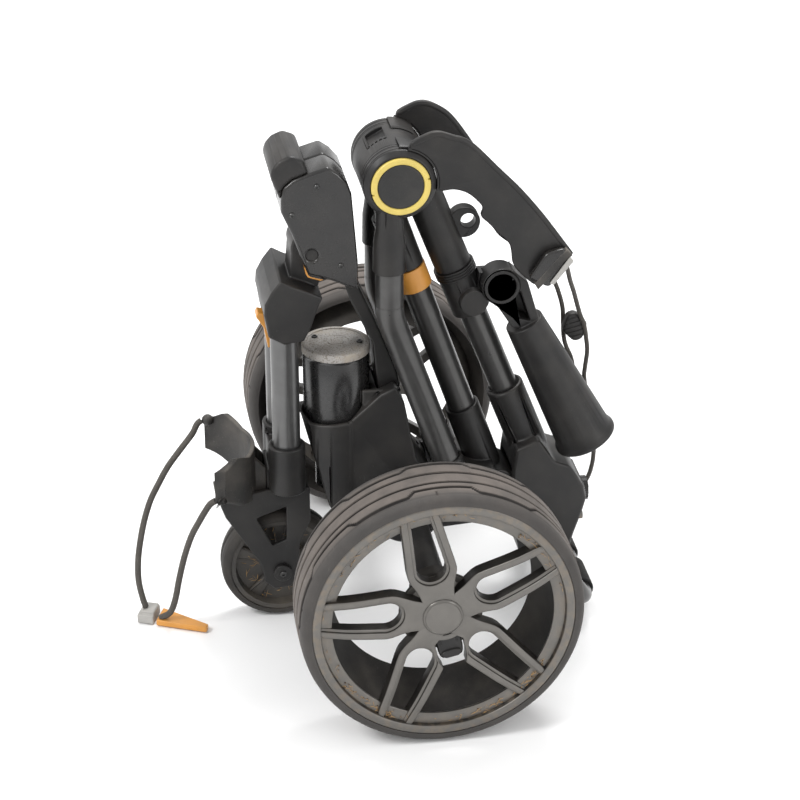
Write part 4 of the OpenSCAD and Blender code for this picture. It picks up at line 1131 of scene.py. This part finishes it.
@dataclass
class Drive:
    """Gearbox, motor, axle, spine and the hinge housing."""

    motor_y: float = -69.5
    motor_r: float = 36.0
    motor_top: float = 184.0

    def motor(self, shop: Workshop) -> None:
        """The motor's can and its dusty end plate with two socket screws and a vent ring."""
        top = AXLE_Z + self.motor_top
        r = self.motor_r
        c = (0, self.motor_y, top)
        plate_top = lathe([(-9, 0), (-9, r + 0.8), (-1.6, r + 0.8), (-0.6, r + 0.4), (0, r - 0.8),
                           (0, r - 4.4),
                           (-0.9, r - 5), (-0.9, r - 9), (-0.3, r - 10), (-0.3, 15), (-0.8, 14.2), (-0.8, 9),
                           (-0.1, 8.2), (-0.1, 0)], c, (0, 0, 1), 128)
        shop.add("motor_face_plate", plate_top, Body.CHASSIS, FACE, ["motor_end_plate"])
        heads = [screw((x, self.motor_y + y, top - 0.4), (0, 0, 1), 3.4) for x, y in ((-14, -21), (5, 25))]
        shop.add("motor_screws", heads, Body.CHASSIS, SCREW)
        can = lathe([(-171, 0), (-171, 24), (-93, 24), (-92, r - 1), (-90, r), (-14, r), (-13, r - 0.6),
                     (-11, r - 0.6),
                     (-10, r), (-6, r), (-6, 0)], c, (0, 0, 1), 128)
        shop.add("motor_can_gloss_tube", can, Body.CHASSIS, CAN, ["motor_can"])

    def build(self, shop: Workshop) -> None:
        """All pieces of the chassis."""
        self.motor(shop)
        base = Body.CHASSIS
        shop.soften("gearbox_case", base, BLACK, 2.4)
        shop.soften("housing_near", base, GLOSS, 3.0)
        shop.soften("housing_far", base, GLOSS, 3.0)
        shop.soften("housing_cap", base, BLACK, 4.0)
        shop.soften("spine_beam", base, BLACK, 2.0)
        shop.soften("stem_ears", base, BLACK, 1.5)
        shop.soften("axle_tubes", base, BLACK, 0.6)
        shop.soften("release_bar", Body.RELEASE, GOLD, 0.8)
        shop.paint("axle_shaft", STEEL)
        shop.paint("leg_hinge_pin", BLACK)
        shop.paint("stem_pivot_pin", SCREW)
        heads = [screw((40.2, y, AXLE_Z + z), (1, 0, 0), 2.8) for y,
                 z in ((-68, 290), (-92, 380), (-118, 350))]
        shop.add("housing_screws", heads + [mirrored(h) for h in heads], base, SCREW)


@dataclass
class LowerStem:
    """The two bent tubes, the strut, the round hinge's ends and the foot."""

    barrel: tuple[float, float] = (-7.0, AXLE_Z + 379.0)
    ring_r: float = 30.8

    def ring(self) -> Surface:
        """The yellow ring with two small notches in its outer edge, one each side."""
        a = np.linspace(0, 2 * math.pi, 360, endpoint=False)
        notch = np.exp(-(np.minimum(np.abs(a - 0.25), np.abs(a - 0.25 - math.pi)) / 0.035) ** 6)
        section = [(49.2, 24.3), (49.2, self.ring_r), (53.2, self.ring_r), (53.9, self.ring_r - 0.7),
                   (54.0, self.ring_r - 1.6), (54.0, 25.6), (53.6, 24.8), (52.6, 24.3)]
        rows = []
        for x, r in section:
            cut = np.where(r > 29, 2.2 * notch, 0.0)
            rows.append(np.column_stack([np.full(len(a), x), self.barrel[0] + (r - cut) * np.cos(a),
                                         self.barrel[1] + (r - cut) * np.sin(a)]))
        return grid(np.array(rows), close_u=True, close_v=True)

    def disc(self) -> Surface:
        """The grained disc inside the ring, with a fine step near its edge."""
        return lathe([(51.6, 0), (51.6, 24.1), (52.4, 24.1), (52.9, 23.4), (52.9, 21.0), (52.6, 20.4),
                      (52.6, 0)],
                     (0, *self.barrel), steps=96)

    def bands(self) -> list[Surface]:
        """Thin seam rings round the hinge."""
        return [lathe([(x, 37.5), (x, 38.35), (x + w, 38.35), (x + w, 37.5)], (0, *self.barrel), steps=128,
                      closed=True)
                for x, w in ((33.5, 1.2), (40.5, 1.6))]

    def build(self, shop: Workshop) -> None:
        """All pieces of the lower stem."""
        body = Body.LOWER_STEM
        for side in ("near", "far"):
            shop.soften(f"barrel_end_{side}", body, BLACK, 0.9)
            shop.paint(f"stem_tube_{side}", TUBE)
        rings = [self.ring(), mirrored(self.ring())]
        shop.add("hinge_rings_yellow", rings, body, YELLOW, ["end_rings"])
        shop.add("hinge_discs", [self.disc(), mirrored(self.disc())], body, DISC)
        bands = self.bands()
        shop.add("hinge_seams", bands + [mirrored(b) for b in bands], body, TUBE)
        shop.paint("stem_strut", TUBE)
        shop.soften("strut_socket", body, BLACK, 1.0)
        shop.soften("stem_foot", body, BLACK, 1.4)
        shop.soften("latch_collar", Body.STRUT_LATCH, GOLD, 0.9)


@dataclass
class UpperStem:
    """The hinge's core, sleeve, clamp, bag support and the holder's hub."""

    barrel: tuple[float, float] = (-7.0, AXLE_Z + 379.0)
    barrel_r: float = 38.0

    NEAR = [(3, 422), (6, 426), (23, 434), (33, 435), (44, 431), (64, 423), (96, 390), (117, 368), (139, 341),
            (155, 319), (174, 292), (165, 285), (138, 255), (131, 260), (119, 272), (112, 282), (111, 296),
            (108, 307),
            (94, 320), (87, 329), (76, 339), (81, 348), (65, 365), (49, 371), (37, 369)]
    FAR = [(3, 422), (6, 426), (23, 434), (33, 435), (44, 431), (60, 419), (80, 391), (108, 345),
           (138, 309), (150, 293),
           (130, 263), (112, 278), (100, 308), (84, 333), (66, 360), (49, 369), (37, 369)]

    def arm(self, outline: Sequence[tuple[float, float]], x: float, top: int) -> list[Surface]:
        """One arm: a blade with an eased outline, hollowed round the hinge, and a rolled top edge.

        Args:
            outline: corners in Y and Z, the top edge first.
            x: its middle across the trolley.
            top: how many of the corners are on the top edge.

        Returns:
            The blade, its rolled edge and its saddle over the hinge.
        """
        a = np.radians(np.linspace(-11, 75, 18))
        arc = np.column_stack([np.cos(a), np.sin(a)]) * (self.barrel_r + 0.9) + (self.barrel[0],
                                                                                 self.barrel[1] - AXLE_Z)
        whole = rounded(np.vstack([outline, arc]), 9) + (0, AXLE_Z)
        edge = [(x, y, z + AXLE_Z) for y, z in outline[1:top]]
        lip = tube(smooth_path([(x, y, z - 4.2) for _, y, z in edge]), 3.6, 16)
        side = 1 if x > 0 else -1
        r = self.barrel_r
        saddle = sector([(side * k, q) for k,
                         q in ((14, r + 0.9), (16, r + 2.4), (41, r + 3.2), (43, r + 2.4),
                                                    (43, r + 0.9))], self.barrel, 52, 90)
        flange = sector([(side * k, q) for k, q in ((42, r + 0.5), (42, r + 3), (48, r + 3), (48, r + 0.5))],
                        self.barrel, -12, 78)
        return [plate(whole, x - 3, x + 3, 1.4), lip, saddle, flange]

    def build(self, shop: Workshop) -> None:
        """All pieces of the upper stem."""
        body = Body.UPPER_STEM
        shop.soften("barrel_core", body, BLACK, 0.8)
        shop.soften("stem_sleeve", body, BLACK, 1.0)
        shop.soften("sleeve_clamp", body, BLACK, 0.6)
        near = self.arm(self.NEAR, 45.0, 11)
        clip = plate(rounded([(128, 268), (150, 256), (172, 284), (166, 300), (146, 296)], 5) + (0, AXLE_Z),
                     48, 57, 2.4)
        pad = plate(rounded([(150, 262), (154, 260), (175, 286), (171, 291)], 1.5) + (0, AXLE_Z), 57, 59.5,
                    0.8)
        shop.add("support_blade_near", near, body, BLACK, ["support_arm_near"])
        shop.add("support_blade_far", self.arm(self.FAR, -45.0, 10), body, BLACK, ["support_arm_far"])
        shop.add("support_clip", clip, body, GLOSS)
        shop.add("support_pad", pad, body, HOOK)
        shop.soften("support_bar", body, DUSTY, 1.2)
        shop.soften("umbrella_hub", body, BLACK, 0.8)


@dataclass
class Handle:
    """The sliding tube, console, display, dial, button and grip loop."""

    def build(self, shop: Workshop) -> None:
        """All pieces of the handle."""
        body = Body.HANDLE
        shop.paint("slide_tube", TUBE)
        shop.soften("console_shell", body, BLACK, 3.0)
        shop.soften("display_panel", body, DISPLAY, 0.8)
        shop.soften("handle_loop", body, TUBE, 0.0)
        shop.soften("handle_grips", body, GRIP, 1.2)
        shop.soften("speed_dial", Body.DIAL, BLACK, 0.6)
        shop.soften("power_button", Body.BUTTON, RIM, 0.8)


@dataclass
class UmbrellaCup:
    """The tilting cup and its fork."""

    def build(self, shop: Workshop) -> None:
        """The cup with its bracket."""
        shop.soften("umbrella_cup", Body.HOLDER, BLACK, 1.2)
        low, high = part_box("umbrella_hub")
        centre = np.array([high[0], 0.5 * (low[1] + high[1]), 0.5 * (low[2] + high[2])]) * 1000 - (4, 0, 0)
        boss = lathe([(-3, 0), (-3, 3.4), (0.6, 3.4), (1.2, 2.8), (1.2, 0)], centre, steps=40)
        spokes = [tube(np.array([centre, centre + 11 * np.array([0, math.cos(a), math.sin(a)])]), 0.9, 10)
                  for a in np.radians((35, 155, 275))]
        shop.add("holder_hub_spokes", [boss, *spokes], Body.UPPER_STEM, BLACK)


def main() -> None:
    """Build the stage, the cords and every sub-assembly in order."""
    logging.basicConfig(level=logging.INFO, format="%(name)s: %(message)s")
    Studio().build()
    shop = Workshop()
    Cords().build(shop)
    for part in (RearWheel(far=False), RearWheel(far=True), FrontAssembly(), Drive(), LowerStem(),
                 UpperStem(),
                 Handle(), UmbrellaCup()):
        part.build(shop)
        LOG.info("%s done", type(part).__name__)


if __name__ == "__main__":
    main()
